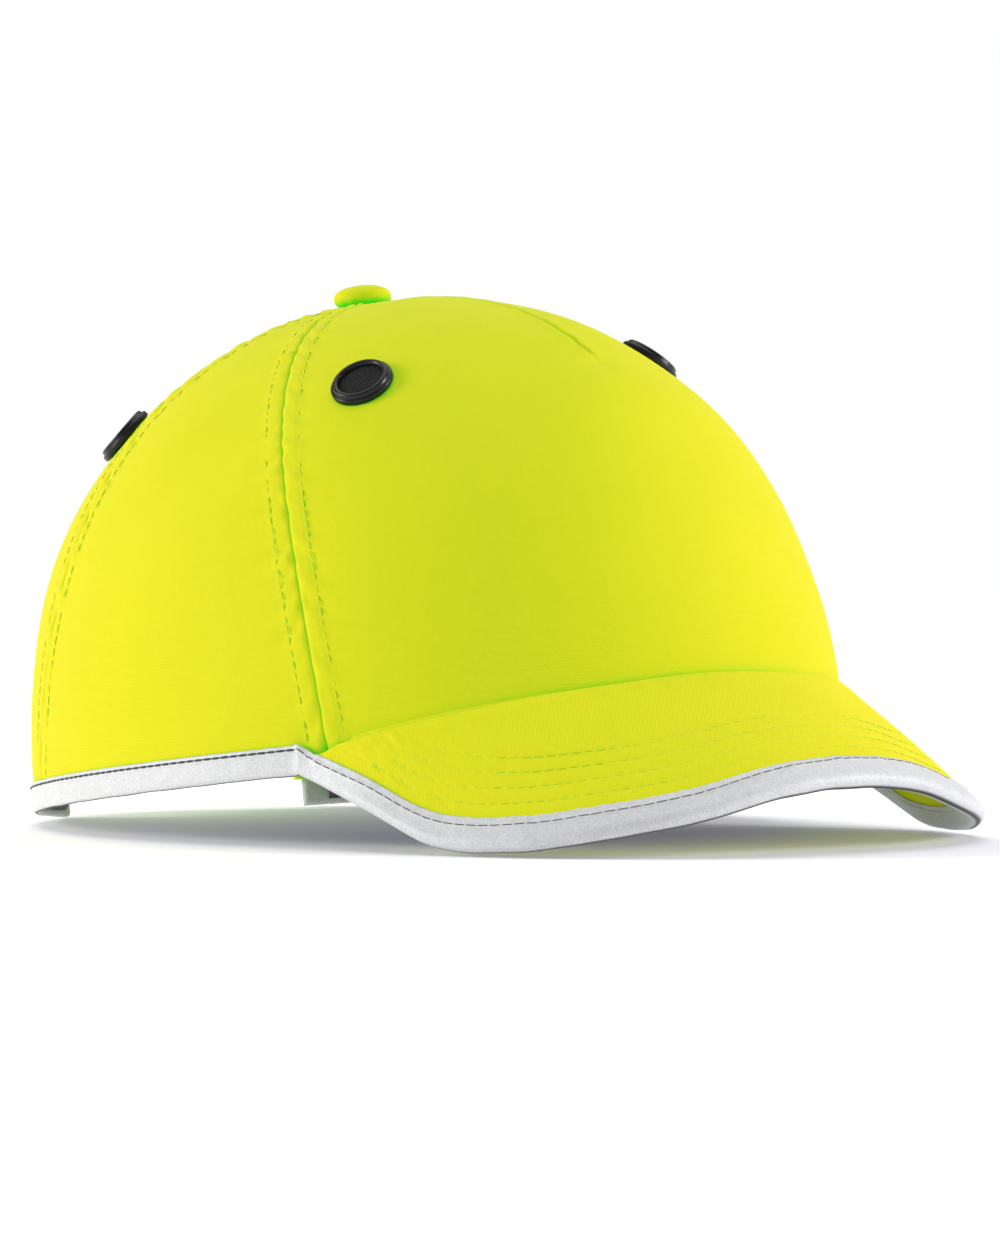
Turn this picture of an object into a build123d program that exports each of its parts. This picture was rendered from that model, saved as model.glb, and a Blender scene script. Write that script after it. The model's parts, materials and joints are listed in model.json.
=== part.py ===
from build123d import *
import os
from math import acos, asin, atan2, cos, degrees, hypot, pi, radians, sin

# Bump cap. Millimetres, angles in degrees unless a name says radians.
# Every piece is drawn in the cap's own frame: z = 0 is the plane of the hem, -Y is the front,
# +X is the wearer's left. Azimuth is measured round the crown from the front, positive to +X.
# Depth is measured inward from the outer face of the crown's fabric. At the end everything is
# tilted to the way the cap rests, on the back of its hem and the two low sides of its peak.

# ---- crown ----
crown_half_width = 91.2
crown_front = 110.9
crown_back = 102.3
crown_height = 117.0
apex_setback = 10.7
front_fullness = 2.64
side_fullness = 1.72
back_fullness = 1.61
rise_fullness = 2.49
apex_opening = 0.03
fabric_thickness = 1.0
interlining_thickness = 0.5
interlining_margin = 1.5
interlining_opening = 0.3
layer_gap = 0.1
rest_tilt = 6.87

# ---- hem, seams and rear opening ----
hem_fold = 1.2
brow_rise = 12.0
peak_corner = 64.6
front_seam_hem = 60.3
front_seam_lean = 13.5
back_seam_crown = 114.0
back_seam_flare = 7.0
tape_width = 12.0
tape_thickness = 0.4
# the side seams' tapes stop short of the others, so that five tapes don't meet at the apex
long_tape_opening = 0.1
short_tape_opening = 0.22
arch_half_width = 38.0
arch_height = 46.0
binding_width = 7.2
binding_thickness = 0.5
binding_gap = 0.05
arch_binding_width = 6.0

# ---- peak ----
peak_root_rise = 17.0
peak_root_sweep = 71.0
peak_half_width = 82.6
peak_side_y = -58.0
peak_reach = 91.0
peak_squareness = 2.38
peak_camber = 1.4
# heights of the peak's lower edge at equal steps from its front centre to its corner
peak_edge_heights = [-14.8, -16.3, -20.7, -23.2, -24.4, -21.7, -11.0, -1.0]
board_thickness = 2.0
cover_thickness = 0.6
cover_gap = 0.05
peak_binding_width = 8.0
peak_root_gap = 0.3
# the peak's middle lies this far under the seam line at its root, and over its lower edge
peak_root_drop = 2.3
peak_edge_lift = 1.6
# share of the half thickness by which the sloping root stands clear of the crown
peak_root_slope = 0.8

# ---- top button ----
button_diameter = 14.0
button_height = 6.0
button_seat = 0.2
button_roundness = 2.4
rivet_diameter = 4.0
rivet_length = 5.0
rivet_washer_diameter = 12.0
rivet_washer_thickness = 0.8

# ---- vents: azimuth and climb of each ring's centre ----
vent_places = {
    "front_left": (42.0, 0.575),
    "front_right": (-50.4, 0.535),
    "rear_left": (128.6, 0.507),
    "rear_right": (-128.6, 0.507),
}
vent_diameter = 15.4
vent_bore = 10.8
vent_barrel = 12.0
vent_proud = 2.5
vent_reach = 2.9
vent_washer_gap = 0.45
vent_washer_diameter = 15.0
vent_mesh_thickness = 0.5

# ---- impact shell and its pads ----
shell_depth = 3.2
shell_thickness = 2.0
shell_edge = 10.0
shell_rear_edge = 60.0
shell_vent_diameter = 13.0
shell_apex_opening = 0.09
slot_length = 24.0
slot_width = 6.0
slot_azimuths = [16, 38, 80, 100]
pad_thickness = 4.0
crown_pad_gap = 0.6
crown_pad_half_width = 30.0
crown_pad_front = -46.0
crown_pad_back = 56.0
crown_pad_hole = 18.0

# ---- sweatband ----
sweatband_thickness = 2.0
sweatband_height = 34.0
sweatband_free_depth = 5.5
sweatband_end = 151.0
brow_pad_thickness = 3.0

# ---- size strap at the back ----
strap_width = 18.0
strap_low = 9.5
strap_thickness = 1.0
patch_thickness = 0.5
strap_taper = 0.035
tail_depth = 1.9
tab_depth = 4.2
tail_root = -22.0
tail_tip = 12.0
tab_root = 41.0
tab_tip = -10.0


# ------------------------------------------------------------------ crown surface
def lerp(start, end, share):
    return start + (end - start) * share


def smoothstep(share):
    share = min(max(share, 0.0), 1.0)
    return share * share * (3 - 2 * share)


def steps(start, end, count):
    return [lerp(start, end, i / count) for i in range(count + 1)]


def fullness_at(azimuth):
    """Exponent of the meridian's curve: higher is fuller, with squarer shoulders."""
    forward = cos(radians(azimuth))
    side = side_fullness * sin(radians(azimuth)) ** 2
    if forward > 0:
        return side + front_fullness * forward**2
    return side + back_fullness * forward**2


def crown_point(azimuth, climb, depth=0.0):
    """Point at an azimuth and a climb, 0 at the hem plane and 1 at the apex."""
    sweep = climb * pi / 2
    forward = cos(radians(azimuth))
    reach = (crown_front if forward > 0 else crown_back) - depth
    girth = max(cos(sweep), 0.0) ** (2 / fullness_at(azimuth))
    rise = sin(sweep) ** (2 / rise_fullness)
    x = (crown_half_width - depth) * girth * sin(radians(azimuth))
    y = -reach * girth * forward + apex_setback * rise**2
    return Vector(x, y, (crown_height - depth) * rise)


def climb_at(height, depth=0.0):
    """Climb at which the crown reaches a height above the hem plane."""
    rise = min(max(height, 0.0) / (crown_height - depth), 1.0)
    return asin(rise ** (rise_fullness / 2)) * 2 / pi


def climb_near_apex(azimuth, opening):
    """Climb at which the crown has narrowed to a share of its girth."""
    return acos(opening ** (fullness_at(azimuth) / 2)) * 2 / pi


def crown_normal(azimuth, climb):
    """Outward unit normal of the crown."""
    step = 0.02
    across = crown_point(azimuth + step, climb) - crown_point(azimuth - step, climb)
    up = crown_point(azimuth, climb + step / 50) - crown_point(azimuth, climb - step / 50)
    return across.cross(up).normalized()


def dome_height(x, y, depth):
    """Height of the crown over a plan position near the apex, found by halving."""
    low, high = 0.2, 1.0
    for _ in range(40):
        rise = (low + high) / 2
        back = y - apex_setback * rise**2
        reach = (crown_back if back > 0 else crown_front) - depth
        across = x / (crown_half_width - depth)
        along = back / reach
        girth = (1 - rise**rise_fullness) ** (1 / fullness_at(degrees(atan2(across, -along))))
        if hypot(across, along) < girth:
            low = rise
        else:
            high = rise
    return (crown_height - depth) * low


def hem_height(azimuth):
    """Height of the fabric's lower edge, which rises to an arch over the brow."""
    share = min(abs(azimuth) / peak_corner, 1.0)
    return hem_fold + brow_rise * cos(share * pi / 2) ** 2


def front_seam(climb):
    return front_seam_hem + front_seam_lean * climb


def back_seam(climb):
    return back_seam_crown + back_seam_flare * (1 - climb) ** 6


# ------------------------------------------------------------------ solids from surfaces
def spline_face(point_at, rows, columns):
    grid = [[point_at(row, column) for column in columns] for row in rows]
    return Face.make_surface_from_array_of_points(grid, tol=0.02, max_deg=5)


def slab(outer_at, inner_at, rows, columns):
    """Closed solid between two spline faces, joined by ruled faces along their four edges."""
    outer = spline_face(outer_at, rows, columns)
    inner = spline_face(inner_at, rows, columns)
    sides = [Face.make_surface_from_curves(a, b) for a, b in zip(outer.edges(), inner.edges())]
    return Solid(Shell([outer, inner, *sides]))


def crown_layer(depth, azimuth_a, azimuth_b, low_edge, opening):
    """Point function of one crown layer between two seams, from its low edge up to an opening
    round the apex, given as a share of the crown's girth."""

    def point_at(row, column):
        guess = lerp(azimuth_a(row), azimuth_b(row), column)
        start = climb_at(low_edge(guess), depth)
        climb = lerp(start, climb_near_apex(guess, opening), row)
        azimuth = lerp(azimuth_a(climb), azimuth_b(climb), column)
        return crown_point(azimuth, climb, depth)

    return point_at


def crown_slab(
    depth, thickness, azimuth_a, azimuth_b, low_edge, opening=apex_opening, columns=12, rows=18
):
    outer = crown_layer(depth, azimuth_a, azimuth_b, low_edge, opening)
    inner = crown_layer(depth + thickness, azimuth_a, azimuth_b, low_edge, opening)
    return slab(outer, inner, steps(0, 1, rows), steps(0, 1, columns))


def band(depth_at, thickness, azimuth_a, azimuth_b, low_at, high_at, rows=10, columns=24):
    """Solid strip that follows the crown between two heights, at a depth that may vary."""

    def layer(extra):
        def point_at(row, azimuth):
            height = lerp(low_at(azimuth), high_at(azimuth), row)
            depth = depth_at(azimuth, height) + extra
            return crown_point(azimuth, climb_at(height, depth), depth)

        return point_at

    return slab(layer(0.0), layer(thickness), steps(0, 1, rows), steps(azimuth_a, azimuth_b, columns))


def seam_strip(azimuth_at, low, high, depth, thickness, width):
    """Tape centred on a seam line, the same width from its low end to its high end."""

    def layer(level):
        def point_at(row, side):
            climb = lerp(climb_at(low, level), high, row)
            centre = azimuth_at(climb)
            reach = crown_point(centre, climb, level)
            radius = max(hypot(reach.X, reach.Y - apex_setback), width)
            return crown_point(centre + degrees(side * width / 2 / radius), climb, level)

        return point_at

    return slab(layer(depth), layer(depth + thickness), steps(0, 1, 14), steps(-1, 1, 4))


def vent_axis(place):
    azimuth, climb = vent_places[place]
    return Plane(origin=crown_point(azimuth, climb), z_dir=crown_normal(azimuth, climb))


def disc(place, radius, low, high):
    """Round disc on a vent's axis, between two distances outward from the crown's face."""
    return vent_axis(place) * Pos(0, 0, (low + high) / 2) * Cylinder(radius, high - low)


def open_for_vents(part, radius, depth=12.0):
    for place in vent_places:
        part = part - disc(place, radius, -depth, depth)
    return part


# ------------------------------------------------------------------ crown pieces
def straight(azimuth):
    return lambda climb: azimuth


def front_panel():
    panel = crown_slab(
        0.0, fabric_thickness, lambda c: -front_seam(c), front_seam, hem_height, columns=20
    )
    return open_for_vents(panel, vent_barrel / 2)


def lining_edge(climb):
    """Azimuth of the interlining's side edge, clear of the tape on the seam beside it."""
    edge = crown_point(front_seam(climb), climb, fabric_thickness)
    radius = max(hypot(edge.X, edge.Y - apex_setback), tape_width)
    return front_seam(climb) - degrees((tape_width / 2 + interlining_margin) / radius)


def front_interlining():
    lining = crown_slab(
        fabric_thickness + layer_gap,
        interlining_thickness,
        lambda c: -lining_edge(c),
        lining_edge,
        hem_height,
        interlining_opening,
        columns=20,
    )
    return open_for_vents(lining, vent_barrel / 2)


def side_panel(side):
    return crown_slab(
        0.0, fabric_thickness, lambda c: side * front_seam(c), lambda c: side * back_seam(c), hem_height
    )


def arch_cutter(grow=0.0):
    """Half-round topped prism that opens the back of the crown."""
    half_width = arch_half_width + grow
    straight_height = arch_height - arch_half_width
    column = Pos(0, crown_back, straight_height / 2 - 10) * Box(2 * half_width, 60, straight_height + 20)
    crest = Pos(0, crown_back, straight_height) * Rot(90, 0, 0) * Cylinder(half_width, 60)
    return column + crest


def back_panel(side):
    panel = crown_slab(
        0.0, fabric_thickness, lambda c: side * back_seam(c), straight(side * 180.0), hem_height
    )
    return open_for_vents(panel, vent_barrel / 2) - arch_cutter()


def seam_tape(azimuth_at, low, opening):
    """Tape over a seam's inside, up to where the crown has narrowed to a share of its girth."""
    high = climb_near_apex(azimuth_at(0.5), opening)
    return seam_strip(azimuth_at, low, high, fabric_thickness + layer_gap, tape_thickness, tape_width)


def folded_strip(path_point, azimuths, fold_rows):
    """Folded tape: a section of (depth, height) pairs carried round the hem."""

    def layer(face):
        def point_at(row, azimuth):
            depth, height = path_point(row, face)
            return crown_point(azimuth, climb_at(height, depth), depth)

        return point_at

    return slab(layer(1), layer(0), fold_rows, azimuths)


def hem_section(share, face):
    """Depth and height along the U of the hem binding. share runs 0 to 1 from outside to inside."""
    inner_radius = fabric_thickness / 2 + binding_gap
    radius = inner_radius + binding_thickness * face
    fold_height = hem_fold + binding_gap
    leg = binding_width - fold_height
    turn = pi * (inner_radius + binding_thickness)
    travel = share * (2 * leg + turn)
    middle = fabric_thickness / 2
    if travel < leg:
        return middle - radius, binding_width - travel
    if travel > leg + turn:
        return middle + radius, fold_height + travel - leg - turn
    angle = (travel - leg) / turn * pi
    return middle - radius * cos(angle), max(fold_height - radius * sin(angle), 0.0)


def hem_binding(side):
    start = side * (front_seam_hem + 1.5)
    end = side * (180 - degrees(asin(arch_half_width / crown_half_width)) - 0.8)
    return folded_strip(hem_section, steps(start, end, 24), steps(0, 1, 44))


def arch_binding():
    """Self-fabric binding folded round the edge of the rear opening."""
    inner_face = fabric_thickness + binding_gap
    outer_leg = rear_blank(-binding_gap - binding_thickness, binding_thickness)
    inner_leg = rear_blank(inner_face, binding_thickness)
    fold = rear_blank(-binding_gap - binding_thickness, inner_face + binding_gap + 2 * binding_thickness)
    outside = arch_cutter(arch_binding_width)
    edge = arch_cutter(-binding_gap)
    legs = [(leg & outside) - edge for leg in (outer_leg, inner_leg)]
    fold = (fold & edge) - arch_cutter(-binding_gap - binding_thickness)
    below = Pos(0, crown_back, binding_width + 1.0 - 50) * Box(200, 80, 100)
    return (legs[0] + fold + legs[1]) - below


def rear_blank(depth, thickness):
    """Sheet over the back of the crown that the arch's pieces are cut from."""
    return band(
        lambda azimuth, height: depth, thickness, 135.0, 225.0, lambda a: 0.5, lambda a: 62.0, rows=12
    )


def button():
    """Fabric-covered cushion on the apex."""
    radius, half_height = button_diameter / 2, button_height / 2
    power = 2 / button_roundness
    points = []
    for turn in steps(-0.7, pi / 2, 12):
        rise = abs(sin(turn)) ** power
        height = half_height * (1 + (rise if turn > 0 else -rise))
        points.append((radius * max(cos(turn), 0.0) ** power, height))
    seat, top = points[0], points[-1]
    profile = Polyline(top, (0, seat[1]), seat) + Spline(*points)
    dome = revolve(Plane.XZ * make_face(profile), axis=Axis.Z)
    return Pos(0, apex_setback, crown_height + button_seat - seat[1]) * dome


def button_rivet():
    """Prong through the apex, with the washer that clenches it inside."""
    top = crown_height + button_seat
    stem = Pos(0, apex_setback, top - rivet_length / 2) * Cylinder(rivet_diameter / 2, rivet_length)
    washer = Cylinder(rivet_washer_diameter / 2, rivet_washer_thickness)
    return stem + Pos(0, apex_setback, top - rivet_length + rivet_washer_thickness / 2) * washer


# ------------------------------------------------------------------ vents
def vent_ring(place):
    """Stepped outer ring with its barrel."""
    flange = disc(place, vent_diameter / 2, 0.0, vent_proud * 0.55)
    crest = disc(place, vent_diameter / 2 - 0.9, vent_proud * 0.55, vent_proud)
    barrel = disc(place, vent_barrel / 2 - 0.05, -vent_reach, 0.1)
    return flange + crest + barrel - disc(place, vent_bore / 2, -5.0, 5.0)


def vent_washer(place):
    """Ring pressed on to the barrel behind the cloth."""
    cloth = fabric_thickness
    if "front" in place:
        cloth = cloth + layer_gap + interlining_thickness
    ring = disc(place, vent_washer_diameter / 2, -vent_reach, -cloth - vent_washer_gap)
    return ring - disc(place, vent_barrel / 2, -5.0, 5.0)


def vent_mesh(place):
    top = vent_proud - 1.0
    return disc(place, vent_bore / 2 - 0.02, top - vent_mesh_thickness, top)


# ------------------------------------------------------------------ peak
def edge_outline():
    """Plan points from the peak's front centre to its corner, with the length run so far."""
    power = 2 / peak_squareness
    points = []
    for turn in steps(0, pi / 2, 60):
        x = peak_half_width * sin(turn) ** power
        y = peak_side_y - peak_reach * max(cos(turn), 0.0) ** power
        points.append((x, y))
    corner = crown_point(peak_corner, 0.0)
    for share in steps(0, 1, 12)[1:]:
        x = peak_half_width + (corner.X + 1.0 - peak_half_width) * share**2
        points.append((x, lerp(peak_side_y, corner.Y, share)))
    run = [0.0]
    for (xa, ya), (xb, yb) in zip(points, points[1:]):
        run.append(run[-1] + hypot(xb - xa, yb - ya))
    return points, [length / run[-1] for length in run]


outline_points, outline_shares = edge_outline()


def edge_plan(share):
    for i in range(1, len(outline_shares)):
        if outline_shares[i] >= share or i == len(outline_shares) - 1:
            span = outline_shares[i] - outline_shares[i - 1]
            part = (share - outline_shares[i - 1]) / span
            (xa, ya), (xb, yb) = outline_points[i - 1], outline_points[i]
            return lerp(xa, xb, part), lerp(ya, yb, part)


def edge_height(share):
    """Smooth curve through the peak's edge heights."""
    heights = peak_edge_heights
    last = len(heights) - 1
    i = min(int(share * last), last - 1)
    part = share * last - i
    before = heights[i - 1] if i > 0 else heights[1]
    after = heights[i + 2] if i + 2 <= last else 2 * heights[last] - heights[last - 1]
    slope_a = (heights[i + 1] - before) / 2
    slope_b = (after - heights[i]) / 2
    bend = 2 * part**3 - 3 * part**2 + 1
    return (
        bend * heights[i]
        + (part**3 - 2 * part**2 + part) * slope_a
        + (1 - bend) * heights[i + 1]
        + (part**3 - part**2) * slope_b
    )


def peak_half_thickness(side):
    """Half of the peak's thickness, which thins towards the corners."""
    full = board_thickness / 2 + cover_gap + cover_thickness
    return full * (1 - 0.5 * smoothstep((abs(side) - 0.8) / 0.2))


def peak_root(side):
    rise = peak_root_rise * cos(radians(peak_root_sweep * side)) - peak_root_drop
    stand_off = -peak_root_gap - peak_half_thickness(side) * peak_root_slope
    return crown_point(side * peak_corner, climb_at(rise, stand_off), stand_off)


def peak_edge(side):
    x, y = edge_plan(abs(side))
    return Vector(x if side > 0 else -x, y, edge_height(abs(side)) + peak_edge_lift)


def peak_middle(side, out):
    """Middle surface of the peak: side -1 to 1 across, out 0 at the crown to 1 at the edge."""
    root, edge = peak_root(side), peak_edge(side)
    middle = root + (edge - root) * out
    lift = peak_camber * 4 * out * (1 - out) * (1 - side * side)
    return middle + Vector(0, -0.5 * lift, 0.87 * lift)


def peak_normal(side, out):
    step = 0.004
    across = peak_middle(min(side + step, 1), out) - peak_middle(max(side - step, -1), out)
    outward = peak_middle(side, out + step) - peak_middle(side, out - step)
    return outward.cross(across).normalized()


def peak_point(side, out, level):
    """Point of the peak at a share of its half thickness, +1 on top and -1 underneath."""
    return peak_middle(side, out) + peak_normal(side, out) * (level * peak_half_thickness(side))


def peak_span(side):
    return (peak_edge(side) - peak_root(side)).length


def peak_layer(top, bottom, edge_margin, reach):
    """Solid layer of the peak between two levels, ending a margin short of the peak's edge."""

    def face(level):
        return lambda row, side: peak_point(side, row * (1 - edge_margin / peak_span(side)), level)

    return slab(face(top), face(bottom), steps(0, 1, 8), steps(-reach, reach, 40))


def peak_levels():
    """Board's face and cover's inner face, as shares of the peak's half thickness."""
    half = board_thickness / 2 + cover_gap + cover_thickness
    return board_thickness / 2 / half, (board_thickness / 2 + cover_gap) / half


def peak_board():
    board, _ = peak_levels()
    return peak_layer(board, -board, 1.4, 0.93)


def peak_cover(face):
    _, cover = peak_levels()
    return peak_layer(face, face * cover, 2.2, 0.94)


def peak_binding():
    """Folded tape round the edge of the peak."""

    def layer(extra):
        def point_at(row, side):
            span = peak_span(side)
            half = peak_half_thickness(side) + binding_gap
            fold = 1 - (half + binding_thickness) / span
            leg = min(peak_binding_width - half, fold * span - 0.6)
            turn = pi * half
            travel = row * (2 * leg + turn)
            radius = half + extra
            if travel < leg:
                out, level = fold - (leg - travel) / span, radius
            elif travel > leg + turn:
                out, level = fold - (travel - leg - turn) / span, -radius
            else:
                angle = (travel - leg) / turn * pi
                out, level = fold + radius * sin(angle) / span, radius * cos(angle)
            return peak_middle(side, out) + peak_normal(side, out) * level

        return point_at

    return slab(layer(binding_thickness), layer(0.0), steps(0, 1, 44), steps(-0.94, 0.94, 48))


# ------------------------------------------------------------------ impact shell and pads
def shell_low_edge(azimuth):
    round_azimuth = abs(azimuth)
    lift = shell_rear_edge - shell_edge
    brow = brow_rise * cos(min(round_azimuth / peak_corner, 1.0) * pi / 2) ** 2
    return shell_edge + brow + lift * smoothstep((round_azimuth - 112) / 46)


def shell_half(side):
    def layer(depth):
        def point_at(row, column):
            azimuth = side * lerp(0.0, 180.0, column)
            start = climb_at(shell_low_edge(azimuth), depth)
            climb = lerp(start, climb_near_apex(azimuth, shell_apex_opening), row)
            return crown_point(azimuth, climb, depth)

        return point_at

    return slab(layer(shell_depth), layer(shell_depth + shell_thickness), steps(0, 1, 18), steps(0, 1, 36))


def impact_shell():
    shell = shell_half(1) + shell_half(-1)
    shell = open_for_vents(shell, shell_vent_diameter / 2, 14.0)
    for side in (-1, 1):
        for azimuth in slot_azimuths:
            climb = climb_at(58.0)
            face = Plane(
                origin=crown_point(side * azimuth, climb),
                x_dir=crown_point(side * azimuth, climb + 0.02) - crown_point(side * azimuth, climb - 0.02),
                z_dir=crown_normal(side * azimuth, climb),
            )
            shell = shell - extrude(face * SlotOverall(slot_length, slot_width), 12, both=True)
    return shell


def wall_pad(azimuth_a, azimuth_b, low, high):
    depth = shell_depth + shell_thickness + layer_gap
    return band(
        lambda a, h: depth, pad_thickness, azimuth_a, azimuth_b, lambda a: low, lambda a: high, columns=10
    )


def crown_pad():
    depth = shell_depth + shell_thickness + crown_pad_gap
    lengths = steps(crown_pad_front, crown_pad_back, 22)
    widths = steps(-crown_pad_half_width, crown_pad_half_width, 14)

    def layer(level):
        return lambda y, x: Vector(x, y, dome_height(x, y, level))

    pad = slab(layer(depth), layer(depth + pad_thickness), lengths, widths)
    return pad - Pos(0, apex_setback, crown_height) * Cylinder(crown_pad_hole / 2, 60)


# ------------------------------------------------------------------ sweatband
def sweatband_depth(azimuth, height):
    """Sewn in at the hem, then turned up inside the impact shell's lower edge."""
    above = height - hem_height(azimuth)
    free = sweatband_free_depth + 1.9 * smoothstep((abs(azimuth) - 113) / 18)
    return lerp(1.75, free, smoothstep(above / 7.6))


def sweatband():
    return band(
        sweatband_depth,
        sweatband_thickness,
        -sweatband_end,
        sweatband_end,
        lambda a: hem_height(a) + 0.3,
        lambda a: hem_height(a) + sweatband_height,
        rows=18,
        columns=60,
    )


def brow_pad():
    """Foam strip on the head's side of the sweatband, over the forehead."""
    return band(
        lambda a, h: sweatband_free_depth + sweatband_thickness + layer_gap,
        brow_pad_thickness,
        -48.0,
        48.0,
        lambda a: hem_height(a) + 9.0,
        lambda a: hem_height(a) + 32.0,
        columns=20,
    )


# ------------------------------------------------------------------ size strap
strap_radius = crown_half_width**2 / crown_back
strap_centre_y = crown_back - strap_radius


def strap_piece(depth, thickness, start, end, low, high):
    """Curved strip of the size strap. Angles are from the rear centre about the strap's centre."""

    def layer(level):
        def point_at(height, angle):
            radius = strap_radius - level - strap_taper * height
            return Vector(radius * sin(radians(angle)), strap_centre_y + radius * cos(radians(angle)), height)

        return point_at

    return slab(layer(depth), layer(depth + thickness), steps(low, high, 2), steps(start, end, 16))


def strap(depth, start, end):
    return strap_piece(depth, strap_thickness, start, end, strap_low, strap_low + strap_width)


def patch(depth, start, end):
    margin = 1.0
    return strap_piece(
        depth, patch_thickness, start, end, strap_low + margin, strap_low + strap_width - margin
    )


# ------------------------------------------------------------------ the whole cap
def all_parts():
    parts = {
        "front_panel": front_panel(),
        "front_interlining": front_interlining(),
        "crown_button": button(),
        "button_rivet": button_rivet(),
        "peak_board": peak_board(),
        "peak_top_cover": peak_cover(1),
        "peak_under_cover": peak_cover(-1),
        "peak_binding": peak_binding(),
        "arch_binding": arch_binding(),
        "sweatband": sweatband(),
        "brow_pad": brow_pad(),
        "impact_shell": impact_shell(),
        "crown_pad": crown_pad(),
        "front_pad": wall_pad(-40, 40, 66, 90),
        "rear_pad": wall_pad(150, 210, 64, 84),
        "side_pad_left": wall_pad(68, 110, 48, 84),
        "side_pad_right": wall_pad(-110, -68, 48, 84),
        "strap_anchor": strap(tail_depth, -44.0, tail_root - 0.3),
        "strap_tail": strap(tail_depth, tail_root, tail_tip),
        "hook_patch": patch(tail_depth + strap_thickness + 0.02, -8.0, tail_tip - 1),
        "strap_tab": strap(tab_depth, tab_tip, tab_root),
        "loop_patch": patch(tab_depth - patch_thickness - 0.02, tab_tip + 1, 24.0),
        "seam_tape_back": seam_tape(straight(180.0), arch_height + 8, long_tape_opening),
    }
    for name, side in (("left", 1), ("right", -1)):
        parts["side_panel_" + name] = side_panel(side)
        parts["back_panel_" + name] = back_panel(side)
        parts["hem_binding_" + name] = hem_binding(side)
        parts["seam_tape_front_" + name] = seam_tape(lambda c: side * front_seam(c), 18.0, long_tape_opening)
        parts["seam_tape_side_" + name] = seam_tape(lambda c: side * back_seam(c), 9.0, short_tape_opening)
    for place in vent_places:
        parts["vent_ring_" + place] = vent_ring(place)
        parts["vent_mesh_" + place] = vent_mesh(place)
        parts["vent_washer_" + place] = vent_washer(place)
    return parts


def to_rest(parts):
    """Tilts the cap to its resting pose and puts the origin at the bottom centre of its box."""
    tilted = {name: Rot(-rest_tilt, 0, 0) * part for name, part in parts.items()}
    boxes = [part.bounding_box() for part in tilted.values()]
    front, back = min(box.min.Y for box in boxes), max(box.max.Y for box in boxes)
    shift = Pos(0, -(front + back) / 2, -min(box.min.Z for box in boxes))
    print("origin of the cap's frame", shift.position)
    return {name: shift * part for name, part in tilted.items()}


os.makedirs("parts", exist_ok=True)
for name, part in to_rest(all_parts()).items():
    export_step(part, os.path.join("parts", name + ".step"))
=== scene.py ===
import json
from math import radians

import bmesh
import bpy
import numpy as np
from mathutils import Matrix, Vector


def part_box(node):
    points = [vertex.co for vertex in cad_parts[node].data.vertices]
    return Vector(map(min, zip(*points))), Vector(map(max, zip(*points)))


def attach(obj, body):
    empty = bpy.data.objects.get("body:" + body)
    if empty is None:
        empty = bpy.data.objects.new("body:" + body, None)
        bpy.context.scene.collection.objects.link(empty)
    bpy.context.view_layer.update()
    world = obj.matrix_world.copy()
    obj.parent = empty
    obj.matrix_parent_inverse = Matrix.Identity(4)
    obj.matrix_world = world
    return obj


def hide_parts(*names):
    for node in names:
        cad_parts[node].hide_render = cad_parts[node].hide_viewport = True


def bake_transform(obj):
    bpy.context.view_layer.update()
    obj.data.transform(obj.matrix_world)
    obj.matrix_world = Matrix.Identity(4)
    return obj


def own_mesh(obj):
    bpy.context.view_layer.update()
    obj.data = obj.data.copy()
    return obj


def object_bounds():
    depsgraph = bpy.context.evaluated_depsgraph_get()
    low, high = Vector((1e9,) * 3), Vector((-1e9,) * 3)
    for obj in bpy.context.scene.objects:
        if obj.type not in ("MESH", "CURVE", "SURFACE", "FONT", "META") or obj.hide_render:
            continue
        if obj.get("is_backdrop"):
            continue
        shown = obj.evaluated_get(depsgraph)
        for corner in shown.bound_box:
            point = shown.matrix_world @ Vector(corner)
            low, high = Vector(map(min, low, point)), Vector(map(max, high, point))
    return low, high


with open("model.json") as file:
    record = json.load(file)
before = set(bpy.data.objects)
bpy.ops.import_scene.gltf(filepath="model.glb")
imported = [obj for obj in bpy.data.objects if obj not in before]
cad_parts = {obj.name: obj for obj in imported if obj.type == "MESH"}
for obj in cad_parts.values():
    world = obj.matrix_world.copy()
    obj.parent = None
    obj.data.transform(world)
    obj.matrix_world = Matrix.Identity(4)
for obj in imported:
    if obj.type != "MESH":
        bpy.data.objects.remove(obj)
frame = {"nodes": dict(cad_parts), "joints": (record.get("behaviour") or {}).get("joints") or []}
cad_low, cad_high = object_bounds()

# Bump cap: the looks. Metres and degrees throughout. Shapes are worked out in the cap's own
# frame, as in the CAD part: z = 0 is the hem plane, -Y the front, +X the wearer's left.
# Azimuth runs round the crown from the front, positive to +X; climb runs 0 at the hem to 1 at
# the apex. mm turns millimetres into metres.
mm = 0.001

# ---- driving dimensions, the same as the part's ----
CROWN_HALF_WIDTH = 91.2 * mm
CROWN_FRONT = 110.9 * mm
CROWN_BACK = 102.3 * mm
CROWN_HEIGHT = 117.0 * mm
APEX_SETBACK = 10.7 * mm
FULLNESS = {"front": 2.64, "side": 1.72, "back": 1.61}
RISE_FULLNESS = 2.49
HEM_FOLD = 1.2 * mm
BROW_RISE = 12.0 * mm
PEAK_CORNER = 64.6
FRONT_SEAM_HEM, FRONT_SEAM_LEAN = 60.3, 13.5
BACK_SEAM_CROWN, BACK_SEAM_FLARE = 114.0, 7.0
ARCH_HALF_WIDTH = 38.0 * mm
ARCH_HEIGHT = 46.0 * mm
PEAK_ROOT_RISE = 17.0 * mm
PEAK_ROOT_SWEEP = 71.0
PEAK_ROOT_DROP = 2.3 * mm
PEAK_HALF_WIDTH = 82.6 * mm
PEAK_SIDE_Y = -58.0 * mm
PEAK_REACH = 91.0 * mm
PEAK_SQUARENESS = 2.38
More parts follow.
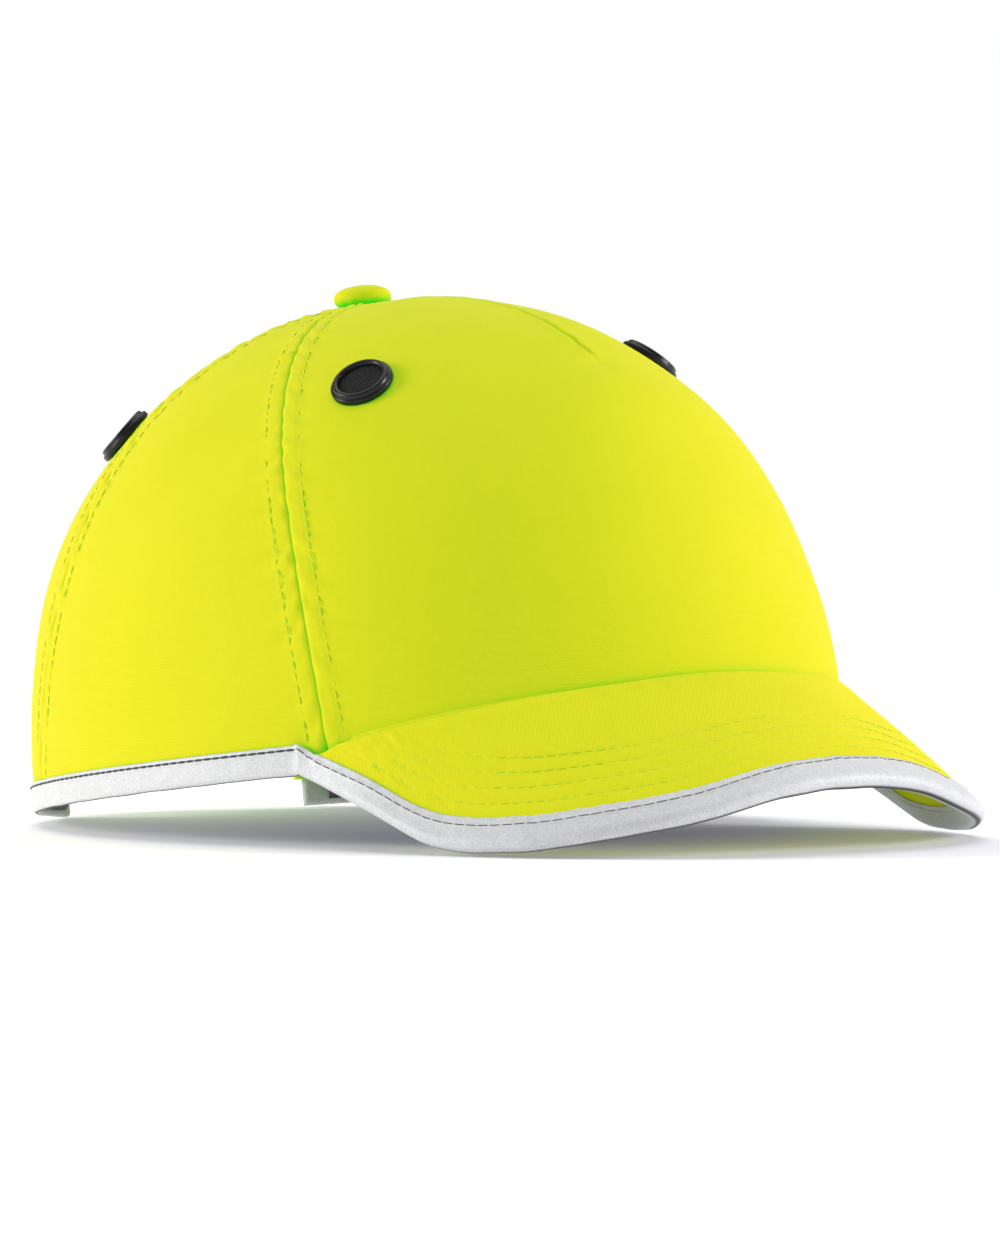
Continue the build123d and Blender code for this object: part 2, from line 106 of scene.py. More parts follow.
PEAK_CAMBER = 1.4 * mm
PEAK_EDGE_HEIGHTS = np.array([-14.8, -16.3, -20.7, -23.2, -24.4, -21.7, -11.0, -1.0]) * mm
PEAK_EDGE_LIFT = 1.6 * mm
PEAK_HALF_THICKNESS = 1.65 * mm
BUTTON_HEIGHT, BUTTON_ROUNDNESS = 6.0 * mm, 2.4
STRAP_RADIUS = CROWN_HALF_WIDTH**2 / CROWN_BACK
STRAP_CENTRE_Y = CROWN_BACK - STRAP_RADIUS
STRAP_TAPER = 0.035
STRAP_LOW, STRAP_WIDTH = 9.5 * mm, 18.0 * mm
VENTS = {
    "front_left": (42.0, 0.575),
    "front_right": (-50.4, 0.535),
    "rear_left": (128.6, 0.507),
    "rear_right": (-128.6, 0.507),
}

# ---- sewing, only in the looks; what covers each cut edge reaches well past it ----
VENT_HOLE, LINING_HOLE = 5.9 * mm, 6.6 * mm
ARCH_MARGIN = 2.0 * mm
CROWN_TOP, STITCHES_END = 0.988, 0.955
SEAM_TAPE_WIDTH = 12.0 * mm
LINING_MARGIN = 7.5 * mm
SEAM_STITCH = 4.7 * mm
SEAM_BAND = 5.6 * mm
MERIDIAN = 170.0 * mm
TAPE_LEG = 6.1 * mm
HEM_STITCH = 1.0 * mm
PEAK_STITCH = 2.3 * mm
PEAK_GRAIN = 42.0

# ---- camera, measured from the cap's own origin ----
CAMERA_TURN = 41.84
CAMERA_RISE = 1.99
CAMERA_DISTANCE = 2.5
CAMERA_LENS = 297.4
CAMERA_ACROSS = 16.91 * mm
CAMERA_UP = 37.92 * mm

# ---- the cap's frame
joints = {joint["name"]: joint for joint in frame["joints"]}
cap_up = np.array(joints["cover_lift"]["axis"], float)
cap_x = np.array([1.0, 0.0, 0.0])
cap_back = np.cross(cap_up, cap_x)
cap_origin = np.array(joints["size_adjust"]["pos_m"], float) - STRAP_CENTRE_Y * cap_back


def to_row(points):
    """Points in the cap's frame, as points in the row's frame."""
    points = np.asarray(points, float)
    x, y, z = (points[..., i, None] for i in range(3))
    return cap_origin + x * cap_x + y * cap_back + z * cap_up


# ---- number helpers
def smooth(share):
    share = np.clip(share, 0.0, 1.0)
    return share * share * (3 - 2 * share)


def unit(vectors):
    return vectors / np.maximum(np.linalg.norm(vectors, axis=-1, keepdims=True), 1e-12)


def bump_at(distance, centre, width):
    return np.exp(-(((distance - centre) / width) ** 2))


def ripple(run, seed, shortest, longest, count=7):
    """Smooth, irregular wave along a seam, about -1 to 1."""
    rng = np.random.default_rng(seed)
    lengths = rng.uniform(shortest, longest, count)
    phases = rng.uniform(0, 2 * np.pi, count)
    return sum(np.sin(2 * np.pi * run / l + p) for l, p in zip(lengths, phases)) / np.sqrt(count)


def lumps(points, seed, size, count=9):
    """Smooth, irregular swell over a surface, about -1 to 1."""
    rng = np.random.default_rng(seed)
    total = 0.0
    for _ in range(count):
        direction = unit(rng.normal(size=3)) * 2 * np.pi / (size * rng.uniform(0.7, 1.5))
        total = total + np.sin(points @ direction + rng.uniform(0, 2 * np.pi))
    return total / np.sqrt(count)


def running(steps):
    return np.concatenate([[0.0], np.cumsum(steps)])


def run_length(points):
    return running(np.linalg.norm(np.diff(points, axis=0), axis=-1))


def sampled(at, run, values):
    """Rows of values along a run, read at other places on it."""
    return np.stack([np.interp(at, run, column) for column in values.T], axis=-1)


def around(turns, first, second):
    """Directions turned from the first one towards the second."""
    return np.cos(turns)[:, None] * first + np.sin(turns)[:, None] * second


# ---- crown surface
def section_fullness(forward, across):
    """How square the crown's plan is, from the cosine and sine of the azimuth."""
    ends = np.where(forward > 0, FULLNESS["front"], FULLNESS["back"])
    return FULLNESS["side"] * across**2 + ends * forward**2


def crown(azimuth, climb, depth=0.0):
    azimuth, climb, depth = np.broadcast_arrays(*(np.asarray(v, float) for v in (azimuth, climb, depth)))
    forward, across = np.cos(np.radians(azimuth)), np.sin(np.radians(azimuth))
    fullness = section_fullness(forward, across)
    reach = np.where(forward > 0, CROWN_FRONT, CROWN_BACK) - depth
    girth = np.maximum(np.cos(climb * np.pi / 2), 0.0) ** (2 / fullness)
    rise = np.maximum(np.sin(climb * np.pi / 2), 0.0) ** (2 / RISE_FULLNESS)
    x = (CROWN_HALF_WIDTH - depth) * girth * across
    y = -reach * girth * forward + APEX_SETBACK * rise**2
    return np.stack([x, y, (CROWN_HEIGHT - depth) * rise], axis=-1)


def climb_at(height, depth=0.0):
    rise = np.clip(np.maximum(height, 0.0) / (CROWN_HEIGHT - depth), 0.0, 1.0)
    return np.arcsin(rise ** (RISE_FULLNESS / 2)) * 2 / np.pi


def crown_normal(azimuth, climb):
    climb = np.clip(climb, 0.004, 0.996)
    across = crown(azimuth + 0.05, climb) - crown(azimuth - 0.05, climb)
    up = crown(azimuth, climb + 0.002) - crown(azimuth, climb - 0.002)
    return unit(np.cross(across, up))


def metres_per_degree(azimuth, climb):
    across = crown(azimuth + 0.05, climb) - crown(azimuth - 0.05, climb)
    return np.maximum(np.linalg.norm(across, axis=-1) / 0.1, 1e-6)


def hem_height(azimuth):
    share = np.minimum(np.abs(azimuth) / PEAK_CORNER, 1.0)
    return HEM_FOLD + BROW_RISE * np.cos(share * np.pi / 2) ** 2


def front_seam(climb):
    return FRONT_SEAM_HEM + FRONT_SEAM_LEAN * climb


def back_seam(climb):
    return BACK_SEAM_CROWN + BACK_SEAM_FLARE * (1 - climb) ** 6


def at_back(x, height):
    """Azimuth and climb of the point on the crown's back at x and a height."""
    climb = climb_at(height)
    azimuth = 180.0 - np.degrees(np.arcsin(np.clip(x / CROWN_HALF_WIDTH, -1, 1)))
    for _ in range(12):
        forward, across = np.cos(np.radians(azimuth)), np.sin(np.radians(azimuth))
        fullness = FULLNESS["side"] * across**2 + FULLNESS["back"] * forward**2
        width = CROWN_HALF_WIDTH * np.cos(climb * np.pi / 2) ** (2 / fullness)
        azimuth = 180.0 - np.degrees(np.arcsin(np.clip(x / width, -1, 1)))
    return azimuth, climb


# ---- meshes
def mesh_object(name, points, faces, material, uv=None):
    mesh = bpy.data.meshes.new(name)
    mesh.from_pydata(np.asarray(points, float).tolist(), [], np.asarray(faces).tolist())
    mesh.polygons.foreach_set("use_smooth", np.ones(len(mesh.polygons), bool))
    if uv is not None:
        layer = mesh.uv_layers.new(name="cloth")
        corners = np.zeros(len(mesh.loops), np.int32)
        mesh.loops.foreach_get("vertex_index", corners)
        layer.data.foreach_set("uv", np.asarray(uv, np.float32)[corners].ravel())
    mesh.materials.append(material)
    thing = bpy.data.objects.new(name, mesh)
    bpy.context.scene.collection.objects.link(thing)
    return thing


def grid_faces(rows, columns, wrap=False):
    """Quads of a grid of points, numbered row by row. wrap joins the last column to the first."""
    number = np.arange(rows * columns).reshape(rows, columns)
    if wrap:
        number = np.concatenate([number, number[:, :1]], axis=1)
    a, b = number[:-1, :-1], number[:-1, 1:]
    c, d = number[1:, 1:], number[1:, :-1]
    return np.stack([a, b, c, d], axis=-1).reshape(-1, 4)


def sheet_object(name, points, material, uv, keep=None, thickness=0.5 * mm):
    """Cloth from a grid of points in the cap's frame, whose outer side faces columns x rows."""
    rows, columns = points.shape[:2]
    faces = grid_faces(rows, columns)
    if keep is not None:
        faces = faces[keep.ravel()[faces].all(axis=1)]
    used = np.unique(faces)
    lookup = np.zeros(rows * columns, int)
    lookup[used] = np.arange(len(used))
    flat_uv = np.asarray(uv, float).reshape(-1, 2)[used]
    thing = mesh_object(name, to_row(points.reshape(-1, 3)[used]), lookup[faces], material, flat_uv)
    solid = thing.modifiers.new("thickness", "SOLIDIFY")
    solid.thickness, solid.offset = thickness, -1
    return thing


def spun(name, profile, origin, axis, material):
    """Turned piece: a profile of (radius, height) points spun about an axis in the cap's frame."""
    profile, turns = np.asarray(profile, float), 96
    angles = np.linspace(0, 2 * np.pi, turns, endpoint=False)
    side = unit(np.cross(axis, [0.0, 0.31, 0.95] if abs(axis[2]) < 0.9 else [1.0, 0.0, 0.0]))
    other = np.cross(axis, side)
    spokes = around(angles, side, other)
    points = origin + profile[:, None, :1] * spokes + profile[:, None, 1:] * axis
    return mesh_object(name, to_row(points.reshape(-1, 3)), grid_faces(len(profile), turns, True), material)


def joined(name, pieces, material):
    """One mesh from many (points in the cap's frame, faces)."""
    starts = running([len(points) for points, _ in pieces]).astype(int)
    faces = np.concatenate([faces + start for (_, faces), start in zip(pieces, starts)])
    return mesh_object(name, to_row(np.concatenate([points for points, _ in pieces])), faces, material)


def stitches(name, lines, material, length=2.3 * mm, gap=0.6 * mm, radius=0.24 * mm, lift=0.22 * mm):
    """Thread: one small arched stitch after another along lines of (points, normals)."""
    pieces, sides, rings = [], 6, 6
    turn = np.linspace(0, 2 * np.pi, sides, endpoint=False)
    share = np.linspace(0, 1, rings)
    arch = np.sin(np.pi * share) ** 0.6
    plump = 0.35 + 0.65 * np.sin(np.pi * share) ** 0.5
    ring_faces = grid_faces(rings, sides, True)
    for line, normals in lines:
        run = run_length(line)
        for start in np.arange(gap, run[-1] - length, length + gap):
            at = start + share * length
            centre, normal = sampled(at, run, line), unit(sampled(at, run, normals))
            side = unit(np.cross(normal, np.gradient(centre, axis=0)))
            centre = centre + normal * (lift * arch - 0.5 * radius)[:, None]
            ring = around(turn, side[:, None], normal[:, None])
            tube = centre[:, None] + ring * (radius * plump)[:, None, None]
            pieces.append((tube.reshape(-1, 3), ring_faces))
    return joined(name, pieces, material)


# ---- materials
def shader_node(tree, kind, sockets=None, **settings):
    node = tree.nodes.new("ShaderNode" + kind)
    for key, value in settings.items():
        setattr(node, key, value)
    for key, value in (sockets or {}).items():
        if isinstance(value, bpy.types.NodeSocket):
            tree.links.new(value, node.inputs[key])
        else:
            node.inputs[key].default_value = value
    return node


def start_material(name, roughness, metallic=0.0, sheen=0.0, specular=0.5, glow=None):
    material = bpy.data.materials.new(name)
    material.use_nodes = True
    tree = material.node_tree
    shader = tree.nodes["Principled BSDF"]
    values = {"Roughness": roughness, "Metallic": metallic, "Sheen Weight": sheen}
    values["Specular IOR Level"] = specular
    if glow:
        values |= {"Emission Color": (*glow, 1), "Emission Strength": 1.0}
    for key, value in values.items():
        shader.inputs[key].default_value = value
    return material, tree, shader


def noise(tree, scale, detail=3.0, rough=0.6):
    place = shader_node(tree, "TexCoord").outputs["Object"]
    sockets = {"Scale": scale, "Detail": detail, "Roughness": rough, "Vector": place}
    return shader_node(tree, "TexNoise", sockets).outputs["Fac"]


def maths(tree, operation, a, b):
    return shader_node(tree, "Math", {0: a, 1: b}, operation=operation).outputs[0]


def shade(tree, factor, dark, light, low=0.3, high=0.7):
    ramp = shader_node(tree, "ValToRGB", {"Fac": factor})
    for element, place, colour in zip(ramp.color_ramp.elements, (low, high), (dark, light)):
        element.position, element.color = place, (*colour, 1)
    return ramp.outputs["Color"]


def mixed(tree, factor, low, high):
    """Colour that goes from a plain one to another socket's with a factor."""
    return shader_node(tree, "Mix", {0: factor, 6: (*low, 1), 7: high}, data_type="RGBA").outputs[2]


def relief(tree, shader, height, distance):
    bump = shader_node(tree, "Bump", {"Height": height, "Distance": distance, "Strength": 1.0})
    tree.links.new(bump.outputs["Normal"], shader.inputs["Normal"])


WAVE_TURN = 0.314


def bands(tree, pitch, vector, direction, wobble=1.0):
    """Wave of that pitch in metres along one direction of the cloth."""
    sockets = {"Vector": vector, "Scale": WAVE_TURN / pitch}
    sockets |= {"Distortion": wobble, "Detail": 2.0, "Detail Scale": 0.35}
    return shader_node(tree, "TexWave", sockets, bands_direction=direction).outputs["Fac"]


# painted shade for glowing cloth: how far its ambient occlusion reaches, and the dark green that occluded
# cloth is mixed towards
PAINTED_FOLD_SHADE_REACH = 8 * mm
PAINTED_FOLD_SHADE_GREEN = (0.12, 0.40, 0.004)


def woven(name, dark, light, pitch, depth, twill=False, glow=None, painted_fold_shade=True):
    """Cloth with warp and weft, or diagonal twill, slubs, and a slow drift of tone. Glowing cloth also gets
    painted shade: ambient occlusion mixes its colour towards a dark green in creases, at seams, under
    stitches and beside other parts.
    """
    material, tree, shader = start_material(name, 0.85, sheen=0.04, specular=0.12, glow=glow)
    shader.inputs["Sheen Roughness"].default_value = 0.45
    cloth = shader_node(tree, "UVMap", uv_map="cloth").outputs["UV"]
    if twill:
        turned = {"Vector": cloth, "Rotation": (0, 0, radians(PEAK_GRAIN))}
        slanted = shader_node(tree, "Mapping", turned).outputs[0]
        weave = bands(tree, pitch, slanted, "X", 1.5)
    else:
        weave = maths(tree, "MULTIPLY", bands(tree, pitch, cloth, "X"), bands(tree, pitch, cloth, "Y"))
    slub = noise(tree, 900.0, 4.0)
    height = maths(tree, "ADD", weave, maths(tree, "MULTIPLY", slub, 0.9))
    relief(tree, shader, height, depth)
    slow = maths(tree, "MULTIPLY", noise(tree, 22.0), 0.45)
    drift = maths(tree, "ADD", maths(tree, "MULTIPLY", height, 0.3), slow)
    colour = shade(tree, drift, dark, light, 0.25, 0.65)
    if glow and painted_fold_shade:
        # painted shade: occluded cloth is mixed towards the dark green
        fold_shade_mask = shader_node(tree, "AmbientOcclusion", {"Distance": PAINTED_FOLD_SHADE_REACH}, samples=6).outputs["AO"]
        fold_shade_mask = shader_node(tree, "MapRange", {0: fold_shade_mask, 1: 0.2, 2: 0.78}).outputs[0]
        colour = mixed(tree, fold_shade_mask, PAINTED_FOLD_SHADE_GREEN, colour)
    tree.links.new(colour, shader.inputs["Base Color"])
    return material


def speckled(name, dark, light, size, depth, roughness, patchy=0.3, **extra):
    """Surface of fine grains, such as glass beads, foam cells or moulded texture."""
    material, tree, shader = start_material(name, roughness, **extra)
    grain = noise(tree, 1 / size, 4.0, rough=0.75)
    patches = maths(tree, "MULTIPLY", noise(tree, 0.12 / size, 2.0), patchy)
    tone = maths(tree, "ADD", maths(tree, "MULTIPLY", grain, 1 - patchy), patches)
    tree.links.new(shade(tree, tone, dark, light, 0.35, 0.65), shader.inputs["Base Color"])
    relief(tree, shader, grain, depth)
    return material


HI_VIS_DARK, HI_VIS_LIGHT = (0.66, 0.385, 0.006), (0.735, 0.43, 0.010)
# painted light: a constant green emission on the hi-vis cloth, so that it looks greener where it is in shade;
# it glows whether lit or not
PAINTED_GREEN_GLOW = (0.0, 0.325, 0.004)
fabric = woven("hi_vis_cloth", HI_VIS_DARK, HI_VIS_LIGHT, 0.45 * mm, 0.03 * mm, glow=PAINTED_GREEN_GLOW)
peak_fabric = woven(
    "peak_cloth", (0.72, 0.40, 0.006), (0.80, 0.45, 0.010), 0.6 * mm, 0.035 * mm, twill=True,
    glow=PAINTED_GREEN_GLOW
)
# painted shade and light: the peak's underside cloth is given a duller lime colour for the shade it sits in,
# and a weak constant glow
shaded_under_fabric = woven(
    "peak_under_cloth", (0.50, 0.52, 0.006), (0.56, 0.58, 0.010), 0.6 * mm, 0.035 * mm, twill=True,
    glow=(0.10, 0.12, 0.001), painted_fold_shade=False
)
# painted light: the thread also has a faint constant green glow
yellow_thread = speckled(
    "yellow_thread", (0.68, 0.60, 0.008), (0.76, 0.67, 0.012), 0.2 * mm, 0.02 * mm, 0.6,
    glow=(0.0, 0.10, 0.001)
)
dark_thread = speckled("dark_thread", (0.02, 0.02, 0.022), (0.07, 0.07, 0.075), 0.2 * mm, 0.03 * mm, 0.7)
pale_thread = speckled("pale_thread", (0.55, 0.55, 0.56), (0.80, 0.80, 0.81), 0.2 * mm, 0.03 * mm, 0.7)
buckram = woven("buckram", (0.66, 0.66, 0.62), (0.80, 0.80, 0.77), 0.9 * mm, 0.15 * mm)
seam_cotton = woven("seam_cotton", (0.62, 0.64, 0.02), (0.74, 0.76, 0.03), 0.7 * mm, 0.1 * mm)
gloss_black = speckled(
    "vent_plastic", (0.006, 0.006, 0.006), (0.010, 0.010, 0.010),
    0.6 * mm, 0.01 * mm, 0.3, specular=0.28
)
wire_black = speckled(
    "mesh_wire", (0.006, 0.006, 0.006), (0.02, 0.02, 0.02),
    0.3 * mm, 0.01 * mm, 0.5, specular=0.3
)
zinc = speckled("zinc_steel", (0.42, 0.42, 0.43), (0.60, 0.60, 0.60), 0.8 * mm, 0.02 * mm, 0.35, metallic=1.0)
board_plastic = speckled("board_plastic", (0.55, 0.55, 0.52), (0.66, 0.66, 0.62), 0.9 * mm, 0.03 * mm, 0.55)
terry = speckled(
    "terry_knit", (0.012, 0.012, 0.014), (0.05, 0.05, 0.055),
    0.7 * mm, 0.5 * mm, 0.95, sheen=0.5
)
foam_black = speckled("foam_cells", (0.014, 0.014, 0.016), (0.045, 0.045, 0.05), 0.45 * mm, 0.2 * mm, 0.9)
shell_black = speckled(
    "shell_texture", (0.012, 0.012, 0.014), (0.024, 0.024, 0.026),
    0.35 * mm, 0.05 * mm, 0.5
)
hook_cloth = speckled("hook_tape", (0.30, 0.32, 0.01), (0.62, 0.64, 0.03), 0.5 * mm, 0.5 * mm, 0.6)
loop_cloth = speckled(
    "loop_tape", (0.42, 0.44, 0.02), (0.70, 0.72, 0.05),
    0.8 * mm, 0.6 * mm, 0.95, sheen=0.6
)


def place(piece, slot, body="cover", nodes=()):
    """Every piece rides on its body and hides the CAD nodes that it stands for. The slot is not used."""
    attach(piece, body)
    if nodes:
        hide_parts(*nodes)
    return piece


# ---- crown panels
def seam_relief(distance, run, seam_seed, side_seed):
    """Height of the cloth beside a sewn seam: groove, raised allowance, stitch valley, puckers."""
    near = ripple(run, seam_seed, 5 * mm, 13 * mm)
    beside = ripple(run + 0.4 * distance, side_seed, 5 * mm, 14 * mm)
    both = near + (beside - near) * smooth(distance / (2 * mm))
    band = 0.32 * mm * (1 - smooth((distance - SEAM_BAND + 0.9 * mm) / (1.5 * mm)))
    groove = -0.5 * mm * bump_at(distance, 0, 0.6 * mm)
    valley = -0.25 * mm * bump_at(distance, SEAM_STITCH, 0.7 * mm)
    pucker = 0.20 * mm * both * bump_at(distance, 1.2 * mm, 2.6 * mm)
    ease = 0.16 * mm * beside * bump_at(distance, SEAM_STITCH, 3.2 * mm)
    return band + groove + valley + pucker + ease


def dart_relief(azimuth, climb, per_degree):
    """Short dart down the middle of the front panel from the button."""
    distance = np.abs(azimuth) * per_degree
    length = smooth((climb - 0.545) / 0.05)
    tip = bump_at(climb, 0.55, 0.018)
    run = climb * MERIDIAN
    crease = -0.5 * mm * bump_at(distance, 0, 0.45 * mm) * length
    swell = 0.32 * mm * bump_at(distance, 1.8 * mm, 1.8 * mm) * length
    pucker = 0.08 * mm * ripple(run, 61, 5 * mm, 10 * mm) * bump_at(distance, 1.0 * mm, 2.5 * mm) * length
    dimple = -0.45 * mm * tip * bump_at(distance, 0, 4.0 * mm)
    return crease + swell + pucker + dimple


def near_vent(points, radius):
    """True for points within a radius of one of the vents' centres."""
    found = np.zeros(points.shape[:-1], bool)
    for azimuth, climb in VENTS.values():
        found |= np.linalg.norm(points - crown(azimuth, climb), axis=-1) < radius
    return found


def in_arch(points, grow):
    """True for points inside the rear opening grown by a margin."""
    half = ARCH_HALF_WIDTH + grow
    over = points[..., 2] - (ARCH_HEIGHT - ARCH_HALF_WIDTH)
    inside = np.where(over > 0, np.hypot(points[..., 0], over) < half, np.abs(points[..., 0]) < half)
    return inside & (points[..., 1] > 0)


DART_COLUMNS = np.linspace(-1, 1, 47)[1:-1]
EDGE_COLUMNS, EDGE_WIDTH = 15, 7.5 * mm


def panel_grid(seam_a, seam_b, depth=0.0, middle=70, row_gap=1.0 * mm, dart=False):
    """Azimuth, climb, and distances to both seams over a panel, with columns crowded at the seams,
    and down the middle where there is a dart."""
    climbs = np.linspace(0, CROWN_TOP, 400)
    centre = (seam_a(climbs) + seam_b(climbs)) / 2
    run = run_length(crown(centre, climbs, depth))
    rows = int(run[-1] / row_gap)
    row_climb = np.interp(np.linspace(0, run[-1], rows), run, climbs) / CROWN_TOP
    azimuth, climb = [], []
    for share in row_climb:
        level = share * CROWN_TOP
        a, b = seam_a(level), seam_b(level)
        per_degree = metres_per_degree((a + b) / 2, min(max(level, 0.01), 0.99))
        width = (b - a) * per_degree
        edge = min(EDGE_WIDTH, width / 3)
        near = np.linspace(0, edge, EDGE_COLUMNS)
        between = np.linspace(edge, width - edge, middle)
        if dart:
            half = min(4 * mm, 0.8 * (width / 2 - edge))
            side_run = np.linspace(edge, width / 2 - half, middle // 2)
            between = np.concatenate([side_run, width / 2 + DART_COLUMNS * half, width - side_run[::-1]])
        across = np.concatenate([near, between[1:-1], width - near[::-1]]) / width
        guess = a + (b - a) * across
        start = climb_at(hem_height(guess) + 2.2 * mm * bump_at(np.abs(guess), PEAK_CORNER, 3.2), depth)
        up = start + (CROWN_TOP - start) * share
        azimuth.append(seam_a(up) + (seam_b(up) - seam_a(up)) * across)
        climb.append(up)
    azimuth, climb = np.array(azimuth), np.array(climb)
    per_degree = metres_per_degree(azimuth, np.clip(climb, 0.01, 0.995))
    centre = azimuth.shape[1] // 2
    run = run_length(crown(azimuth[:, centre], climb[:, centre], depth))
    run = np.broadcast_to(run[:, None], azimuth.shape)
    return azimuth, climb, per_degree, run


def crown_panel(name, seam_a, seam_b, seeds, middle=70, dart=False, arch=False):
    azimuth, climb, per_degree, _ = panel_grid(seam_a, seam_b, middle=middle, dart=dart)
    base = crown(azimuth, climb)
    from_a = np.cumsum(np.linalg.norm(np.diff(base, axis=1, prepend=base[:, :1]), axis=-1), axis=1)
    from_b = from_a[:, -1:] - from_a
    run = climb * MERIDIAN
    height = seam_relief(from_a, run, seeds[0], seeds[0] + 100 + len(name))
    height = height + seam_relief(from_b, run, seeds[1], seeds[1] + 200 + len(name))
    if dart:
        height = height + dart_relief(azimuth, climb, per_degree)
    height = height + 0.22 * mm * lumps(base, 5, 42 * mm) * smooth(climb / 0.2)
    near_top = smooth((CROWN_TOP - climb) / 0.06)
    points = base + crown_normal(azimuth, climb) * (height * near_top)[..., None]
    keep = ~near_vent(base, VENT_HOLE)
    if arch:
        keep &= ~in_arch(base, ARCH_MARGIN)
    uv = np.stack([from_a, run], axis=-1)
    return sheet_object(name, points, fabric, uv, keep)


def straight(azimuth):
    return lambda climb: azimuth + 0.0 * climb


def mirrored(seam):
    return lambda climb: -seam(climb)


SIDE_FLAT, BACK_FLAT = (0.1115, 0.1646), (0.0973, 0.1652)
# seams, seeds, columns, dart, arch, the rectangle it is cut from, and the share of it left
PANELS = {
    "front_panel": (mirrored(front_seam), front_seam, (11, 12), 150, True, False, (0.205, 0.175), 0.717),
    "side_panel_left": (front_seam, back_seam, (12, 13), 60, False, False, SIDE_FLAT, 0.575),
    "side_panel_right": (
        mirrored(back_seam), mirrored(front_seam), (14, 11), 60, False, False, SIDE_FLAT, 0.575
    ),
    "back_panel_left": (back_seam, straight(180.0), (13, 15), 70, False, True, BACK_FLAT, 0.61),
    "back_panel_right": (straight(-180.0), mirrored(back_seam), (15, 14), 70, False, True, BACK_FLAT, 0.61),
}
for name, (seam_a, seam_b, seeds, middle, dart, arch, flat, cut) in PANELS.items():
    panel = crown_panel(name + "_cloth", seam_a, seam_b, seeds, middle, dart, arch)
    place(panel, "hi_vis_fabric", nodes=[name])


def seam_line(seam, offset, low, high):
    """Line that runs up the crown beside a seam, with its normals."""
    climb = np.linspace(climb_at(low), high, 160)
    azimuth = seam(climb) + offset / metres_per_degree(seam(climb), climb)
    normals = crown_normal(azimuth, climb)
    return crown(azimuth, climb) + normals * 0.12 * mm, normals


rows = []
for sign in (-1, 1):
    for seam in (front_seam, back_seam):
        for offset in (-SEAM_STITCH, SEAM_STITCH):
            low = 5.0 * mm if seam is front_seam and offset < 0 else 7.2 * mm
            rows.append(seam_line(lambda c: sign * seam(c), sign * offset, low, STITCHES_END))
for offset in (-SEAM_STITCH, SEAM_STITCH):
    rows.append(seam_line(straight(180.0), offset, ARCH_HEIGHT + 7 * mm, STITCHES_END))
rows.append(seam_line(straight(0.0), -0.9 * mm, CROWN_HEIGHT * 0.815, 0.93))
place(stitches("crown_topstitching", rows, yellow_thread, radius=0.2 * mm, lift=0.18 * mm), "hi_vis_fabric")


# ---- peak surface
def peak_outline():
    power = 2 / PEAK_SQUARENESS
    turn = np.linspace(0, np.pi / 2, 61)
    x = PEAK_HALF_WIDTH * np.sin(turn) ** power
    y = PEAK_SIDE_Y - PEAK_REACH * np.maximum(np.cos(turn), 0) ** power
    corner = crown(PEAK_CORNER, 0.0)
    share = np.linspace(0, 1, 13)[1:]
    x = np.concatenate([x, PEAK_HALF_WIDTH + (corner[0] + 1.0 * mm - PEAK_HALF_WIDTH) * share**2])
    y = np.concatenate([y, PEAK_SIDE_Y + (corner[1] - PEAK_SIDE_Y) * share])
    run = running(np.hypot(np.diff(x), np.diff(y)))
    return run / run[-1], x, y


OUTLINE = peak_outline()


def edge_height(share):
    heights = PEAK_EDGE_HEIGHTS
    last = len(heights) - 1
    padded = np.concatenate([[heights[1]], heights, [2 * heights[-1] - heights[-2]]])
    i = np.minimum((share * last).astype(int), last - 1)
    part = share * last - i
    before, here, there, after = (padded[i + k] for k in range(4))
    bend = 2 * part**3 - 3 * part**2 + 1
    rise = (part**3 - 2 * part**2 + part) * (there - before) / 2
    return bend * here + rise + (1 - bend) * there + (part**3 - part**2) * (after - here) / 2


def peak_half(side):
    return PEAK_HALF_THICKNESS * (1 - 0.5 * smooth((np.abs(side) - 0.8) / 0.2))


def peak_root(side):
    rise = PEAK_ROOT_RISE * np.cos(np.radians(PEAK_ROOT_SWEEP * side)) - PEAK_ROOT_DROP
    stand_off = -0.3 * mm - peak_half(side) * 0.8
    return crown(side * PEAK_CORNER, climb_at(rise, stand_off), stand_off)


def peak_edge(side):
    share = np.abs(side)
    x = np.interp(share, OUTLINE[0], OUTLINE[1]) * np.sign(side)
    y = np.interp(share, OUTLINE[0], OUTLINE[2])
    return np.stack([x, y, edge_height(share) + PEAK_EDGE_LIFT], axis=-1)


def peak_middle(side, out):
    side, out = np.broadcast_arrays(np.asarray(side, float), np.asarray(out, float))
    root, edge = peak_root(side), peak_edge(side)
    lift = (PEAK_CAMBER * 4 * out * (1 - out) * (1 - side * side))[..., None]
    return root + (edge - root) * out[..., None] + lift * np.array([0, -0.5, 0.87])


def peak_normal(side, out):
    step = 0.004
    across = peak_middle(np.minimum(side + step, 1), out) - peak_middle(np.maximum(side - step, -1), out)
    outward = peak_middle(side, out + step) - peak_middle(side, out - step)
    return unit(np.cross(outward, across))


def peak_span(side):
    return np.linalg.norm(peak_edge(side) - peak_root(side), axis=-1)


PEAK_ROWS = np.array([12.6, 17.2, 21.8, 26.4]) * mm
ROOT_RUN_IN = 3.4 * mm
CREASE_DEPTH = 0.9 * mm


